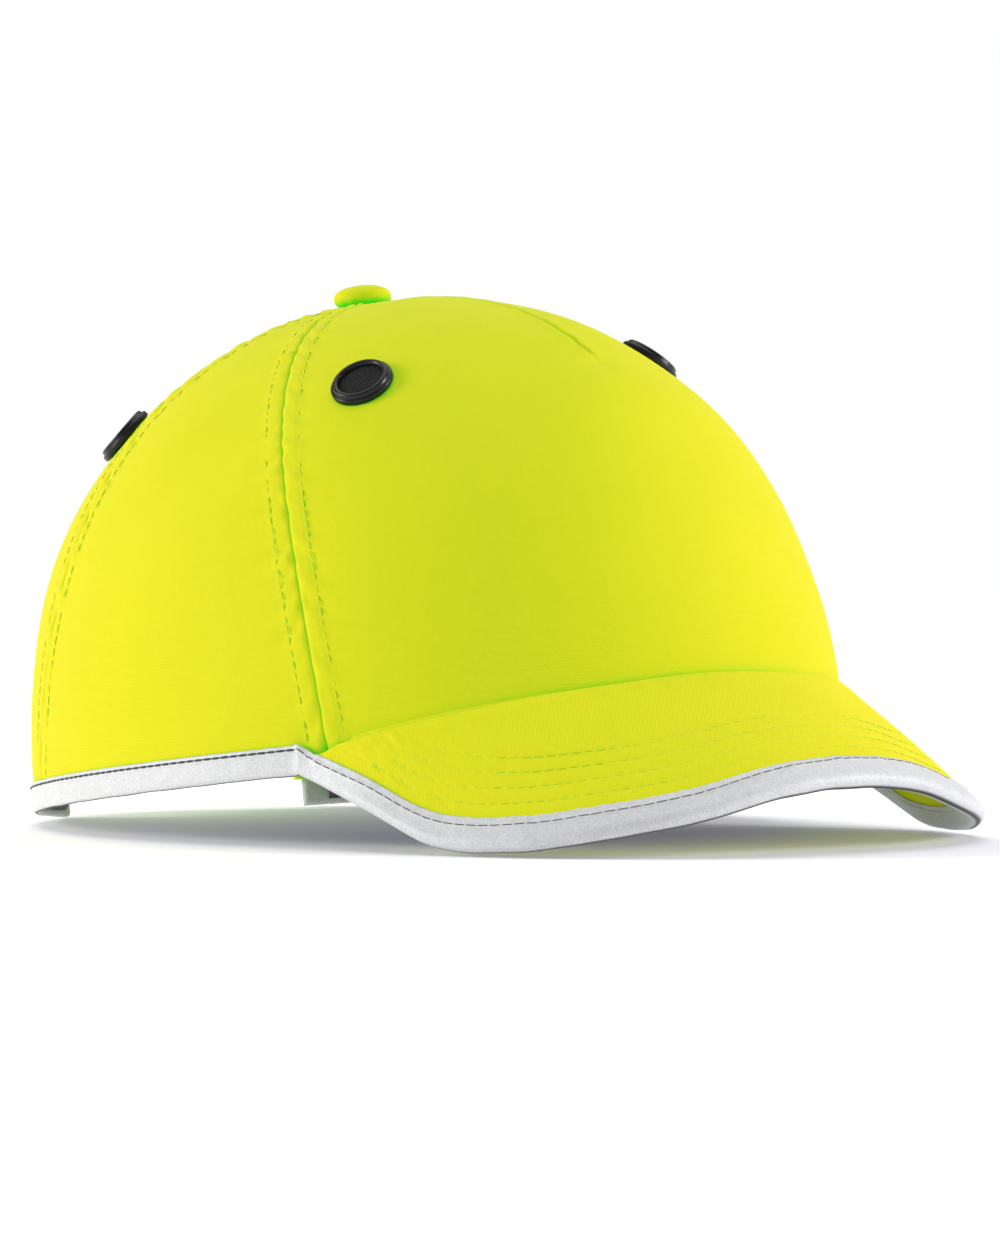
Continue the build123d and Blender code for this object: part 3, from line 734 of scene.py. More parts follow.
def peak_cover(name, face, reach):
    """Cloth on one face of the peak, from inside the crown's seam to inside the tape."""
    side = np.linspace(-reach, reach, 520)[None, :]
    span = peak_span(side)
    run_in = ROOT_RUN_IN * (1 - smooth((np.abs(side) - 0.86) / 0.08))
    near = run_in * np.linspace(-1, 0, 14)[:-1, None]
    beyond = np.linspace(0, 1, 125)[:, None] * (span - 3 * mm)
    out = np.concatenate([near, beyond]) / span
    half = peak_half(side)
    middle, normal = peak_middle(side, out), peak_normal(side, out)
    from_edge = (1 - out) * span
    points = middle + normal * (face * half)[..., None]
    height = 0.12 * mm * lumps(points, 8, 34 * mm)
    if face > 0:
        run = side * 150 * mm
        for number, row in enumerate(PEAK_ROWS):
            height = height - 0.10 * mm * bump_at(from_edge, row, 0.6 * mm)
            pucker = ripple(run + from_edge, 30 + number, 4 * mm, 11 * mm)
            height = height + 0.05 * mm * pucker * bump_at(from_edge, row, 2.2 * mm)
        root_roll = bump_at(out * span, 1.5 * mm, 2.2 * mm)
        height = height + 0.12 * mm * root_roll * (1 + 0.6 * ripple(run, 39, 6 * mm, 15 * mm))
        crease = CREASE_DEPTH * (1 - 0.55 * side)
        height = height - crease * smooth((-0.9 * mm - out * span) / (1.4 * mm))
    points = points + normal * (face * height)[..., None]
    if face < 0:
        points = points[:, ::-1]
    uv = points[..., :2]
    cloth = peak_fabric if face > 0 else shaded_under_fabric
    return sheet_object(name, points[::-1], cloth, uv[::-1], thickness=0.4 * mm)


for name, face, reach, cut in (("top", 1, 0.975, 0.537), ("under", -1, 0.95, 0.512)):
    cover = peak_cover(f"peak_{name}_cloth", face, reach)
    place(cover, "hi_vis_fabric", nodes=[f"peak_{name}_cover"])


def peak_line(from_edge, reach):
    """Line across the peak's top at a distance from its edge, with its normals."""
    side = np.linspace(-reach, reach, 400)
    out = 1 - from_edge / peak_span(side)
    normals = peak_normal(side, out)
    return peak_middle(side, out) + normals * peak_half(side)[:, None], normals


rows = [peak_line(row, 0.84 - 0.04 * i) for i, row in enumerate(PEAK_ROWS)]
place(stitches("peak_topstitching", rows, yellow_thread, radius=0.16 * mm, lift=0.07 * mm), "hi_vis_fabric")


# ---- reflective tape
HEM_ROWS, PEAK_TAPE_ROWS = 130, 430
LEG_COLUMNS, FOLD_COLUMNS = 16, 7


def hem_sections():
    """Azimuths of the tape's sections from the rear opening to the peak's corner, left side."""
    end = 180 - np.degrees(np.arcsin(ARCH_HALF_WIDTH / CROWN_HALF_WIDTH)) - 0.6
    return np.linspace(end, PEAK_CORNER - 0.2, HEM_ROWS)


def hem_leg(azimuth, height):
    """Middle of the hem's cloth at heights over the fold's centre, and its normals."""
    z = height + HEM_FOLD
    normal = crown_normal(azimuth, climb_at(z))
    return crown(azimuth, climb_at(z), 0.5 * mm), normal


def peak_leg(side, height):
    """Middle of the peak at distances inward from the fold's centre, then up the crown's wall."""
    span, half = peak_span(side), peak_half(side)
    fold_out = 1 - (half + 0.5 * mm) / span
    out = fold_out - height / span
    on_peak, normal = peak_middle(side, np.maximum(out, 0)), peak_normal(side, np.maximum(out, 0))
    over = np.maximum(-out * span, 0)
    root = peak_root(side)
    z = root[..., 2] + over
    wall = crown(side * PEAK_CORNER, climb_at(z, -0.7 * mm), -0.7 * mm)
    wall_normal = crown_normal(side * PEAK_CORNER, climb_at(z))
    share = smooth(over / (1.5 * mm))[..., None]
    return on_peak + (wall - on_peak) * share, unit(normal + (wall_normal - normal) * share)


def tape_sections():
    """Grid of the tape's outer face: sections along it, from its upper edge round to its lower."""
    legs = np.linspace(1, 0, LEG_COLUMNS)
    turns = np.linspace(0, np.pi, FOLD_COLUMNS + 2)[1:-1]
    hem_azimuth = hem_sections()[:, None]
    side = np.linspace(1.0, -1.0, PEAK_TAPE_ROWS)[1:-1, None]
    parts = []
    for kind, where in (("hem", hem_azimuth), ("peak", side), ("hem", -hem_azimuth[::-1])):
        leg = hem_leg if kind == "hem" else peak_leg
        half = np.full(where.shape, 0.55 * mm) if kind == "hem" else peak_half(where) + 0.05 * mm
        radius = half + 0.45 * mm
        upper, upper_normal = leg(where, legs[None] * TAPE_LEG)
        limit = TAPE_LEG if kind == "hem" else np.minimum(TAPE_LEG, 0.8 * peak_span(where))
        lower, lower_normal = leg(where, legs[None, ::-1] * limit)
        centre, normal = upper[:, -1:], upper_normal[:, -1:]
        down = unit(upper[:, -1:] - upper[:, -3:-2])
        down = unit(down - normal * np.sum(down * normal, axis=-1, keepdims=True))
        radius = radius[..., None]
        outer, inner = upper + upper_normal * radius, lower - lower_normal * radius
        parts.append(np.concatenate([outer, centre + around(turns, normal, down) * radius, inner], axis=1))
    near_share = smooth((0.15 - side[:, 0]) / 0.6) * smooth((side[:, 0] + 1.0) / 0.06)
    stitch = [np.full(len(hem_azimuth), HEM_STITCH), HEM_STITCH + (PEAK_STITCH - HEM_STITCH) * near_share]
    return parts, np.concatenate(stitch + stitch[:1])


def blend_corner(parts, reach=2):
    """Joins the hem's and peak's sections into one strip, eased over a few sections at the mitre."""
    strip = np.concatenate(parts)
    for joint in (len(parts[0]), len(parts[0]) + len(parts[1])):
        low, high = joint - reach, joint + reach
        share = np.linspace(0, 1, high - low + 1)[:, None, None]
        straight_line = strip[low] + (strip[high] - strip[low]) * share
        kept = np.abs(2 * share - 1)
        here = strip[low : high + 1]
        strip[low : high + 1] = here * 0.5 + 0.5 * (straight_line * (1 - kept) + here * kept)
    return strip


def flat_grid(strip, column):
    """Flat coordinates of a folded strip, its run taken along one column, and its normals."""
    run = run_length(strip[:, column])
    across = running(np.linalg.norm(np.diff(strip, axis=1), axis=-1).mean(axis=0))
    normal = unit(np.cross(np.gradient(strip, axis=1), np.gradient(strip, axis=0)))
    return np.stack(np.meshgrid(run, across, indexing="ij"), axis=-1), normal


def flat_size(uv):
    return float(uv[..., 1].max()), float(uv[..., 0].max())


def reflective_tape():
    """Tape's outer face and normals, flat coordinates, and the stitch row's distance from its edge."""
    parts, stitch = tape_sections()
    strip = blend_corner(parts)
    uv, normal = flat_grid(strip, LEG_COLUMNS - 1)
    gather = ripple(uv[..., 0], 71, 3.5 * mm, 9 * mm) * bump_at(uv[..., 1], 0.5 * mm, 3.0 * mm)
    swell = ripple(uv[..., 0], 72, 12 * mm, 30 * mm)
    valley = bump_at(uv[..., 1], stitch[:, None], 0.55 * mm)
    height = 0.07 * mm * gather + 0.06 * mm * swell - 0.16 * mm * valley
    return strip + normal * height[..., None], normal, uv, stitch


def bead_tape():
    """Glass bead tape with a painted shade line: a near-black band along its folded edge, where the cloth's
    second coordinate is 0, standing in for the shade under the fold.
    """
    dark, light = (0.46, 0.47, 0.48), (0.84, 0.84, 0.85)
    material = speckled("bead_tape", dark, light, 0.26 * mm, 0.02 * mm, 0.5, patchy=0.12)
    tree = material.node_tree
    colour = tree.nodes["Principled BSDF"].inputs["Base Color"]
    beads = colour.links[0].from_socket
    cloth = shader_node(tree, "UVMap", uv_map="cloth").outputs["UV"]
    across = shader_node(tree, "SeparateXYZ", {"Vector": cloth}).outputs["Y"]
    away = maths(tree, "ABSOLUTE", across, 0.0)
    outside_shade_line = shader_node(tree, "MapRange", {0: away, 1: 0.25 * mm, 2: 0.8 * mm}).outputs[0]
    # painted shade: near black within 0.25 mm of the fold line, fading out by 0.8 mm
    tree.links.new(mixed(tree, outside_shade_line, (0.03, 0.03, 0.03), beads), colour)
    return material


def tape_line(inward, rows):
    """Line along the tape at distances in from its upper edge, with its normals."""
    across = strip_uv[0, :, 1]
    line = np.array([sampled(inward[row], across, strip[row]) for row in rows])
    normals = unit(np.array([sampled(inward[row], across, strip_normal[row]) for row in rows]))
    return line + normals * 0.05 * mm, normals


strip, strip_normal, strip_uv, stitch_inward = reflective_tape()
TAPE_FLAT = flat_size(strip_uv)
last_row = len(strip) - 1
row_number = np.arange(last_row + 1)
on_peak = smooth((row_number - HEM_ROWS) / 12) * smooth((last_row - HEM_ROWS - row_number) / 12)
# where the painted shade line runs: just over the fold's middle on the hem, just under it on the peak
fold_low, fold_high = strip_uv[0, LEG_COLUMNS + 3 : LEG_COLUMNS + 5, 1]
fold = fold_low - 0.45 * mm + (fold_high - fold_low + 0.6 * mm) * on_peak
shade_line_uv = strip_uv - np.stack([0 * fold, fold], axis=-1)[:, None]
tape = sheet_object("reflective_tape", strip[::-1], bead_tape(), shade_line_uv[::-1], thickness=0.3 * mm)
place(tape, "reflective_tape", nodes=["hem_binding_left", "hem_binding_right", "peak_binding"])
far_end = HEM_ROWS + int(0.36 * (last_row - 2 * HEM_ROWS))
hem_rows = [range(HEM_ROWS), range(last_row - HEM_ROWS + 1, last_row + 1)]
under_inward = TAPE_FLAT[0] - np.full(last_row + 1, 1.7 * mm)
TAPE_THREADS = {
    "hem_stitching": (
        [tape_line(stitch_inward, part) for part in hem_rows], dark_thread, 0.3 * mm, 0.05 * mm
    ),
    "peak_edge_stitching": (
        [tape_line(stitch_inward, range(far_end, last_row - HEM_ROWS + 2))], dark_thread, 0.19 * mm, 0.45 * mm
    ),
    "peak_far_stitching": (
        [tape_line(stitch_inward, range(HEM_ROWS, far_end))], pale_thread, 0.2 * mm, 0.6 * mm
    ),
    "tape_under_stitching": (
        [tape_line(under_inward, range(last_row + 1))], pale_thread, 0.22 * mm, 0.6 * mm
    ),
}
for name, (lines, thread, radius, gap) in TAPE_THREADS.items():
    place(stitches(name, lines, thread, 2.6 * mm, gap, radius, lift=0.14 * mm), "reflective_tape")


# ---- button
def button():
    """Cloth gathered over a cushion on the apex."""
    low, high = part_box("crown_button")
    radius, height = (high.x - low.x) / 2, BUTTON_HEIGHT
    turn = np.linspace(-np.pi / 2, np.pi / 2, 40)
    spokes = np.linspace(0, 2 * np.pi, 120, endpoint=False)
    turn, spoke = np.meshgrid(turn, spokes, indexing="ij")
    power = 2 / BUTTON_ROUNDNESS
    gather = 1 + 0.02 * np.sin(9 * spoke + 1.5 * np.sin(3 * spoke)) * smooth(-turn + 0.2)
    r = radius * np.maximum(np.cos(turn), 0) ** power * gather
    z = height / 2 * (1 + np.sign(turn) * np.abs(np.sin(turn)) ** power)
    z = z + 0.12 * mm * np.sin(2 * spoke + 1.0) * (r / radius)
    x, y = r * np.sin(spoke), r * np.cos(spoke)
    points = np.stack([x, APEX_SETBACK + y, CROWN_HEIGHT - 0.9 * mm + z], axis=-1)[:, ::-1]
    uv = np.stack([x, y], axis=-1)[:, ::-1]
    flat = points.reshape(-1, 3)
    return mesh_object("top_button", to_row(flat), grid_faces(*r.shape, True), fabric, uv.reshape(-1, 2))


place(button(), "hi_vis_fabric", nodes=["crown_button"])


# ---- vents
MESH_RADIUS = 5.38 * mm
# the ring's section in millimetres: radius and height over the cloth
RING_PROFILE = [
    (6.05, -2.8), (6.05, -0.2), (7.0, -0.15), (7.55, 0.0), (7.68, 0.15), (7.7, 0.5),
    (7.68, 1.1), (7.6, 1.3), (7.42, 1.42), (7.1, 1.48), (7.0, 1.56), (6.94, 1.95),
    (6.84, 2.24), (6.62, 2.42), (6.3, 2.5), (5.95, 2.44), (5.68, 2.24), (5.52, 1.85),
    (5.44, 1.2), (5.4, 0.3), (5.4, -2.8), (5.5, -2.9), (5.95, -2.9), (6.05, -2.8),
]


def vent_frame(where):
    azimuth, climb = VENTS[where]
    axis = crown_normal(azimuth, climb)
    side = unit(np.cross([0.0, 0.0, 1.0], axis))
    return crown(azimuth, climb), axis, side, np.cross(axis, side)


def vent_mesh(where, pitch=0.62 * mm, wire=0.17 * mm):
    """Plain-woven wire disc inside the ring."""
    centre, axis, side, other = vent_frame(where)
    pieces, sides, count = [], 5, int(MESH_RADIUS / pitch)
    turn = np.linspace(0, 2 * np.pi, sides, endpoint=False)
    for along, across, phase in ((side, other, 0), (other, side, 1)):
        for k in range(-count, count + 1):
            half = np.sqrt(MESH_RADIUS**2 - (k * pitch) ** 2)
            s = np.linspace(-half, half, max(int(4 * half / pitch), 4))
            wave = 0.5 * wire * np.cos(np.pi * (s / pitch + k + phase))
            line = along * s[:, None] + across * k * pitch + axis * (1.25 * mm + wave)[:, None]
            ring = around(turn, across, axis)
            tube = centre + line[:, None] + ring[None] * wire
            pieces.append((tube.reshape(-1, 3), grid_faces(len(s), sides, True)))
    return joined("mesh_" + where, pieces, wire_black)


for where in VENTS:
    centre, axis, _, _ = vent_frame(where)
    ring = spun("ring_" + where, np.array(RING_PROFILE) * mm, centre, axis, gloss_black)
    place(ring, "vent_plastic", nodes=["vent_ring_" + where])
    place(vent_mesh(where), "vent_mesh", nodes=["vent_mesh_" + where])


# ---- rear opening
def arch_path():
    """Points x and height along the rear opening's edge, from one leg over to the other, with the
    direction away from the opening."""
    half, spring = ARCH_HALF_WIDTH, ARCH_HEIGHT - ARCH_HALF_WIDTH
    turn = np.linspace(0, np.pi, 150)
    x, z = half * np.cos(turn), spring + half * np.sin(turn)
    leg = np.linspace(7.0 * mm, spring, 6)[:-1]
    x = np.concatenate([np.full(5, half), x, np.full(5, -half)])
    z = np.concatenate([leg, z, leg[::-1]])
    over = np.stack([np.cos(turn), np.sin(turn)], axis=1)
    away = np.concatenate([np.tile([1.0, 0.0], (5, 1)), over, np.tile([-1.0, 0.0], (5, 1))])
    return x, z, away


def arch_binding():
    x, z, away = arch_path()
    legs, turns = np.linspace(6.0 * mm, 0, 9), np.linspace(0, np.pi, 7)[1:-1]

    def on_crown(distance, level):
        px = x[:, None] + away[:, :1] * distance
        pz = z[:, None] + away[:, 1:] * distance
        azimuth, climb = at_back(px, pz)
        normal = crown_normal(azimuth, climb)
        return crown(azimuth, climb) + normal * (level - 0.5 * mm), normal

    outer, _ = on_crown(legs[None], 0.95 * mm)
    inner, _ = on_crown(legs[None, ::-1], -0.95 * mm)
    centre, normal = on_crown(np.zeros((1, 1)), 0.0)
    beyond, _ = on_crown(np.full((1, 1), -1.0 * mm), 0.0)
    inward = unit(beyond - centre)
    grid = np.concatenate([outer, centre + around(turns, normal, inward) * 0.95 * mm, inner], axis=1)
    uv, surface = flat_grid(grid, len(legs))
    gather = 0.08 * mm * ripple(uv[..., 0], 81, 4 * mm, 10 * mm)
    valley = 0.14 * mm * bump_at(uv[..., 1], 1.4 * mm, 0.5 * mm)
    grid = grid + surface * (gather - valley)[..., None]
    return grid, uv, (grid[:, 2] + surface[:, 2] * 0.05 * mm, surface[:, 2])


grid, uv, arch_line = arch_binding()
binding = sheet_object("arch_binding_cloth", grid[::-1], fabric, uv[::-1], thickness=0.3 * mm)
place(binding, "hi_vis_fabric", nodes=["arch_binding"])
place(stitches("arch_stitching", [arch_line], yellow_thread, length=2.2 * mm), "hi_vis_fabric")


# ---- size strap
TAIL_DEPTH, STRAP_COLUMNS = 1.9 * mm, 150


def strap_grid(depth, start, end, round_end, low=STRAP_LOW, width=STRAP_WIDTH):
    """Grid of one strap's outer face. round_end names the end that is rounded off, -1 or 1."""
    angle = np.linspace(start, end, STRAP_COLUMNS)[None, :]
    height = np.linspace(0, 1, 15)[:, None]
    half = width / 2
    gap = (angle - start if round_end < 0 else end - angle) * radians(1) * STRAP_RADIUS
    reach = np.clip(1 - gap / (half * 0.9), 0, 1)
    half = half * np.sqrt(np.maximum(1 - reach**2.2, 0.0004))
    z = low + width / 2 + (2 * height - 1) * half
    radius = STRAP_RADIUS - depth - STRAP_TAPER * z
    turn = np.radians(angle)
    points = np.stack([radius * np.sin(turn), STRAP_CENTRE_Y + radius * np.cos(turn), z + 0 * turn], axis=-1)
    outward = np.stack([np.sin(turn), np.cos(turn), 0 * turn], axis=-1) + 0 * points
    soft = 0.12 * mm * lumps(points, 15, 22 * mm)
    edge = 1 - np.abs(2 * height - 1)
    valley = -0.15 * mm * bump_at(edge, 0.2, 0.06)
    points = points + outward * (soft + valley)[..., None]
    uv = np.stack([radius * turn, z], axis=-1) + np.zeros(points.shape[:2] + (2,))
    return points[:, ::-1], outward[:, ::-1], uv[:, ::-1]


def strap_piece(name, depth, start, end, round_end, material, slot, nodes, thickness=1.0 * mm, **size):
    points, outward, uv = strap_grid(depth, start, end, round_end, **size)
    piece = sheet_object(name, points, material, uv, thickness=thickness)
    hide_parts(*nodes)
    return piece, points, outward


def strap_rows(name, points, outward):
    """Two stitch rows along a strap, short of its ends."""
    ends = slice(12, STRAP_COLUMNS - 5)
    lines = [(points[i, ends] + outward[i, ends] * 0.03 * mm, outward[i, ends]) for i in (2, 12)]
    return stitches(name, lines, yellow_thread, length=2.2 * mm, radius=0.2 * mm, lift=0.15 * mm)


tail, points, outward = strap_piece(
    "strap_tail_cloth", TAIL_DEPTH, -44.0, 12.0, 1, fabric, "strap_webbing", ["strap_anchor", "strap_tail"]
)
tail_thread = strap_rows("strap_tail_stitching", points, outward)
for piece in (tail, tail_thread):
    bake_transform(piece)
PATCH = {"low": STRAP_LOW + 1 * mm, "width": 16 * mm}
hooks, _, _ = strap_piece(
    "hook_patch_cloth", 2.95 * mm, -8.0, 11.0, 1, hook_cloth, "hook_tape", ["hook_patch"], 0.45 * mm, **PATCH
)
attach(hooks, "tail")
tab, points, outward = strap_piece(
    "strap_tab_cloth", 4.2 * mm, -10.0, 41.0, -1, fabric, "strap_webbing", ["strap_tab"]
)
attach(tab, "tab")
place(strap_rows("strap_tab_stitching", points, outward), "strap_webbing", "tab")
loops, _, _ = strap_piece(
    "loop_patch_cloth", 3.72 * mm, -9.0, 24.0, -1, loop_cloth, "loop_tape", ["loop_patch"], 0.4 * mm, **PATCH
)
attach(loops, "tab")


# ---- inside the crown
def lining_edge(climb):
    """Azimuth of the interlining's edge, which stops short of the seam tape."""
    seam = front_seam(climb)
    return seam - LINING_MARGIN / metres_per_degree(seam, np.clip(climb, 0.01, 0.9))


def interlining():
    edges = mirrored(lining_edge), lining_edge
    azimuth, climb, per_degree, run = panel_grid(*edges, 1.1 * mm, middle=60, row_gap=2 * mm)
    base = crown(azimuth, climb, 1.15 * mm)
    keep = ~near_vent(base, LINING_HOLE)
    keep &= np.hypot(base[..., 0] / CROWN_HALF_WIDTH, (base[..., 1] - APEX_SETBACK) / CROWN_FRONT) > 0.3
    uv = np.stack([azimuth * per_degree, run], axis=-1)
    return sheet_object("front_buckram", base, buckram, uv, keep, 0.35 * mm)


lining = place(interlining(), "interlining", nodes=["front_interlining"])

SEAM_TAPES = {
    "seam_tape_front_left": (front_seam, 18.0, 0.93, 21),
    "seam_tape_front_right": (mirrored(front_seam), 18.0, 0.93, 22),
    "seam_tape_side_left": (back_seam, 9.0, 0.90, 23),
    "seam_tape_side_right": (mirrored(back_seam), 9.0, 0.90, 24),
    "seam_tape_back": (straight(180.0), 54.0, 0.93, 25),
}
tape_rows = []
for name, (seam, low, high, seed) in SEAM_TAPES.items():
    climb = np.linspace(climb_at(low * mm), high, 150)[:, None]
    offset = np.linspace(-0.5, 0.5, 17)[None, :] * SEAM_TAPE_WIDTH
    centre = seam(climb)
    azimuth = centre + offset / metres_per_degree(centre, climb)
    run = np.broadcast_to(run_length(crown(centre[:, 0], climb[:, 0]))[:, None], azimuth.shape)
    gather = 0.10 * mm * ripple(run + 0.3 * offset, seed, 4 * mm, 12 * mm)
    points = crown(azimuth, climb, 1.2 * mm) - crown_normal(azimuth, climb) * gather[..., None]
    uv = np.stack([offset + 0 * azimuth, run], axis=-1)
    piece = sheet_object(name + "_cloth", points[:, ::-1], seam_cotton, uv[:, ::-1], thickness=-0.3 * mm)
    place(piece, "seam_tape", nodes=[name])
    flat = (SEAM_TAPE_WIDTH, float(run.max()))
    for column in (3, 13):
        normals = -crown_normal(azimuth[:, column], climb[:, 0])
        tape_rows.append((points[:, column] + normals * 0.35 * mm, normals))
place(stitches("seam_tape_stitching", tape_rows, yellow_thread), "seam_tape")


# ---- sweatband and foam
BAND_RISE, BAND_HEIGHT = 0.4 * mm, 33.4 * mm
BAND_AT_HEM, BAND_FREE, BAND_FREE_BACK = 1.75 * mm, 5.5 * mm, 7.4 * mm


def sweatband_depth(azimuth, height):
    above = height - hem_height(azimuth)
    free = BAND_FREE + (BAND_FREE_BACK - BAND_FREE) * smooth((np.abs(azimuth) - 113) / 18)
    return BAND_AT_HEM + (free - BAND_AT_HEM) * smooth(above / (7.6 * mm))


def sweatband():
    """Terry band: outer face up, over its rolled upper edge, and down its inner face."""
    azimuth = np.linspace(-151.0, 151.0, 620)[None, :]
    section = np.linspace(0, 1, 70)[:, None]
    climb_share = 1 - np.abs(2 * section - 1)
    inner = smooth((section - 0.5) / 0.04 + 0.5)
    height = hem_height(azimuth) + BAND_RISE + climb_share * BAND_HEIGHT
    depth = sweatband_depth(azimuth, height) + 0.1 * mm
    roll = bump_at(climb_share, 0.96, 0.05)
    thick = 1.7 * mm + 0.5 * mm * roll - 0.9 * mm * (1 - smooth(climb_share / 0.08))
    depth = depth + inner * thick - (1 - inner) * 0.2 * mm * roll
    run = azimuth * 1.6 * mm
    gather = 0.22 * mm * ripple(run, 91, 6 * mm, 16 * mm) * bump_at(climb_share, 0.22, 0.12)
    drop = 0.35 * mm * bump_at(climb_share, 0.26, 0.02) + 0.35 * mm * bump_at(climb_share, 0.90, 0.012)
    depth = depth + gather - inner * drop
    points = crown(azimuth, climb_at(height, depth), depth)
    uv = np.stack([run + 0 * height, section * 0.07 + 0 * azimuth], axis=-1)
    rows, columns = points.shape[:2]
    flat = points.reshape(-1, 3)
    return mesh_object("sweatband_terry", to_row(flat), grid_faces(rows, columns), terry, uv.reshape(-1, 2))


band = place(sweatband(), "sweatband_fabric", nodes=["sweatband"])
line_azimuth = np.linspace(-150.0, 150.0, 900)
rows = []
for share in (0.26, 0.90):
    height = hem_height(line_azimuth) + BAND_RISE + share * BAND_HEIGHT
    depth = sweatband_depth(line_azimuth, height) + 1.85 * mm
    climb = climb_at(height, depth)
    rows.append((crown(line_azimuth, climb, depth), -crown_normal(line_azimuth, climb)))
band_thread = place(stitches("sweatband_stitching", rows, dark_thread, length=2.6 * mm), "sweatband_fabric")


def foam(name, surface, across, along, thickness, material, body, nodes, seed, channels=()):
    """Soft block on a surface: rounded edges, a crowned face, pressed channels.
    surface gives (points, directions to the soft face) at across and along."""
    side = 70
    share = np.linspace(0, 1, side)
    share = smooth(share) * 0.5 + share * 0.5
    u, v = np.meshgrid(share, share)
    at_across = across[0] + (across[1] - across[0]) * u
    base, direction, width, length = surface(at_across, along[0] + (along[1] - along[0]) * v)
    gap = np.minimum(np.minimum(u, 1 - u) * width, np.minimum(v, 1 - v) * length)
    edge = np.sqrt(np.clip(1 - np.clip(1 - gap / (2.2 * mm), 0, 1) ** 2, 0, 1))
    face = thickness * (0.12 + 0.80 * edge) + 0.10 * mm * lumps(base, seed, 14 * mm)
    for at in channels:
        face = face - 0.9 * mm * bump_at((v - at) * length, 0, 1.1 * mm) * edge
    face = np.minimum(face, thickness)
    top = base + direction * face[..., None]
    count = u.size
    quads = grid_faces(*u.shape)
    step = np.arange(1, side)
    rim = [np.arange(side), side * step + side - 1, count - 1 - step, side * step[-2::-1]]
    rim = np.concatenate(rim)
    walls = np.stack([rim, np.roll(rim, -1), np.roll(rim, -1) + count, rim + count], axis=-1)
    faces = np.concatenate([quads, quads[:, ::-1] + count, walls[:, ::-1]])
    points = np.concatenate([top.reshape(-1, 3), base.reshape(-1, 3)])
    piece = mesh_object(name, to_row(points), faces, material)
    bm = bmesh.new()
    bm.from_mesh(piece.data)
    bmesh.ops.recalc_face_normals(bm, faces=bm.faces)
    bm.to_mesh(piece.data)
    bm.free()
    place(piece, "foam", body, nodes)
    return piece


def on_wall(depth):
    def surface(azimuth, height):
        climb = climb_at(height, depth)
        width = np.ptp(azimuth) * metres_per_degree(azimuth, climb)
        return crown(azimuth, climb, depth), -crown_normal(azimuth, climb), width, np.ptp(height)

    return surface


def on_top(depth):
    """Under the shell's crown: x and y in plan, with the height found by halving."""

    def surface(x, y):
        low, high = np.full(x.shape, 0.2), np.ones(x.shape)
        for _ in range(40):
            rise = (low + high) / 2
            back = y - APEX_SETBACK * rise**2
            across = x / (CROWN_HALF_WIDTH - depth)
            along = back / (np.where(back > 0, CROWN_BACK, CROWN_FRONT) - depth)
            turn = np.arctan2(across, -along)
            fullness = section_fullness(np.cos(turn), np.sin(turn))
            inside = np.hypot(across, along) < (1 - rise**RISE_FULLNESS) ** (1 / fullness)
            low, high = np.where(inside, rise, low), np.where(inside, high, rise)
        points = np.stack([x, y, (CROWN_HEIGHT - depth) * low], axis=-1)
        return points, np.broadcast_to([0.0, 0.0, -1.0], points.shape), np.ptp(x), np.ptp(y)

    return surface


SHELL_INSIDE, FOAM, BROW_DEPTH, BROW_BAND = 5.3 * mm, 3.9 * mm, 7.65 * mm, 23 * mm
wall = on_wall(SHELL_INSIDE)
for name, node, across, along, seed in (
    ("front_foam", "front_pad", (-40, 40), (66 * mm, 90 * mm), 41),
    ("rear_foam", "rear_pad", (150, 210), (64 * mm, 84 * mm), 42),
    ("side_foam_left", "side_pad_left", (68, 110), (48 * mm, 84 * mm), 43),
    ("side_foam_right", "side_pad_right", (-110, -68), (48 * mm, 84 * mm), 44),
):
    foam(name, wall, across, along, FOAM, foam_black, "shell", [node], seed)
top = on_top(SHELL_INSIDE + 0.5 * mm)
across, along, channels = (-30 * mm, 30 * mm), (-46 * mm, 56 * mm), (0.28, 0.76)
foam("crown_foam", top, across, along, FOAM, foam_black, "shell", ["crown_pad"], 45, channels)


def brow_surface(azimuth, share):
    height = hem_height(azimuth) + 9 * mm + share * BROW_BAND
    return *on_wall(BROW_DEPTH)(azimuth, height)[:3], BROW_BAND


brow = foam("brow_foam", brow_surface, (-48, 48), (0, 1), 2.9 * mm, terry, "cover", ["brow_pad"], 46)
for piece in (band, band_thread, brow):
    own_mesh(piece)

# ---- rigid CAD nodes that show as they are
for name, node in frame["nodes"].items():
    finish = {"impact_shell": shell_black, "button_rivet": zinc, "peak_board": board_plastic}.get(name)
    if name.startswith("vent_washer"):
        finish = gloss_black
    if finish:
        node.data.materials.clear()
        node.data.materials.append(finish)

# ---- floor, light and camera
turn, tilt = radians(CAMERA_TURN), radians(CAMERA_RISE)
view_back = np.array([-np.sin(turn) * np.cos(tilt), -np.cos(turn) * np.cos(tilt), np.sin(tilt)])
view_right = np.array([np.cos(turn), -np.sin(turn), 0.0])
view_up = np.cross(view_back, view_right)


def aimed(thing, where, target, up=(0.0, 0.0, 1.0)):
    """Puts a camera or light somewhere, looking at a target."""
    back = unit(np.asarray(where) - np.asarray(target))
    right = unit(np.cross(up, back))
    rotation = Matrix(np.stack([right, np.cross(back, right), back], axis=1).tolist())
    thing.matrix_world = Matrix.Translation(Vector(where)) @ rotation.to_4x4()
    bpy.context.scene.collection.objects.link(thing)
    return thing


def softbox(name, across, toward, high, size, power):
    """Square light placed by the camera's right, the camera's side, and height."""
    light = bpy.data.lights.new(name, "AREA")
    light.shape, light.size, light.energy = "SQUARE", size, power
    centre = np.array([0.0, 0.0, 0.05])
    level = unit(np.array([view_back[0], view_back[1], 0.0]))
    where = centre + across * view_right + toward * level + np.array([0, 0, high])
    aimed(bpy.data.objects.new(name, light), where, centre)


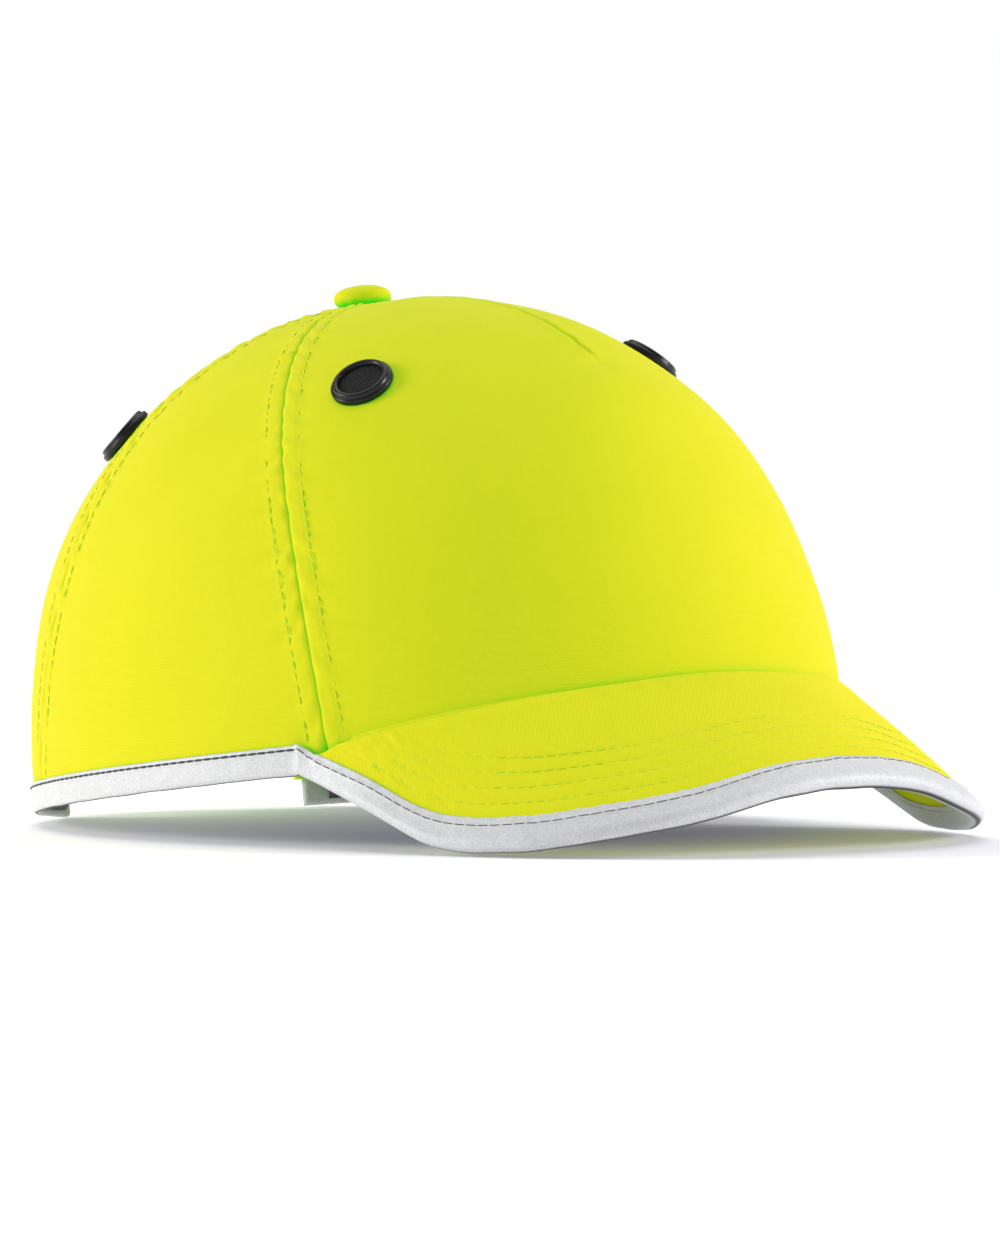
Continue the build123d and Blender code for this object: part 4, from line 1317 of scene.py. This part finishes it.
softbox("key", 2.2, 0.1, 0.7, 0.8, 36.0)
softbox("left", -2.2, 0.1, 0.6, 0.8, 34.0)
softbox("overhead", 0.0, -0.7, 2.4, 3.0, 38.0)
softbox("fill", 1.5, 1.8, 0.9, 1.0, 1.5)

world = bpy.data.worlds.new("studio")
bpy.context.scene.world = world
world.use_nodes = True
tree = world.node_tree
direction = shader_node(tree, "TexCoord").outputs["Generated"]
height = shader_node(tree, "SeparateXYZ", {"Vector": direction}).outputs["Z"]
glow = shade(tree, height, (1.0, 1.0, 1.0), (0.22, 0.22, 0.22), 0.08, 0.3)
tree.links.new(glow, tree.nodes["Background"].inputs["Color"])
tree.nodes["Background"].inputs["Strength"].default_value = 1.0

floor_material = speckled(
    "pale_floor", (0.90, 0.90, 0.90), (0.93, 0.93, 0.93), 40 * mm, 0.01 * mm, 0.9, specular=0.1
)
tree = floor_material.node_tree
# painted shadow: the floor's glow is dimmer and tinted violet near the peak, which darkens and neutralises
# the cap's shadow; further out it is an even glow
place_on_floor = shader_node(tree, "TexCoord").outputs["Object"]
ends = {0: place_on_floor, 1: (0.0, 0.7 * cad_low.y, 0.0)}
away = shader_node(tree, "VectorMath", ends, operation="DISTANCE").outputs["Value"]
floor_glow_painted_shadow = shade(tree, away, (0.10, 0.09, 0.15), (0.34, 0.34, 0.34), 0.06, 0.20)
tree.links.new(floor_glow_painted_shadow, tree.nodes["Principled BSDF"].inputs["Emission Color"])
tree.nodes["Principled BSDF"].inputs["Emission Strength"].default_value = 1.0
FLOOR_REACH, FLOOR_CORNERS, FLOOR_DROP = 1.5, 96, 0.2 * mm
rim = np.linspace(0, 2 * np.pi, FLOOR_CORNERS, endpoint=False)
floor_edge = np.stack([np.cos(rim), np.sin(rim), 0 * rim], axis=-1) * FLOOR_REACH
floor = mesh_object("floor", floor_edge, [list(range(FLOOR_CORNERS))], floor_material)
floor.location.z = cad_low.z - FLOOR_DROP
floor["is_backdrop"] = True

camera = bpy.data.cameras.new("camera")
camera.lens, camera.sensor_width = CAMERA_LENS, 36.0
camera.clip_start, camera.clip_end = 0.05, 100.0
aim = cap_origin + CAMERA_ACROSS * view_right + CAMERA_UP * view_up
viewer = aimed(bpy.data.objects.new("camera", camera), aim + CAMERA_DISTANCE * view_back, aim, tuple(view_up))
bpy.context.scene.camera = viewer
bpy.context.scene.view_settings.view_transform = "Standard"

bpy.context.view_layer.update()
low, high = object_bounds()
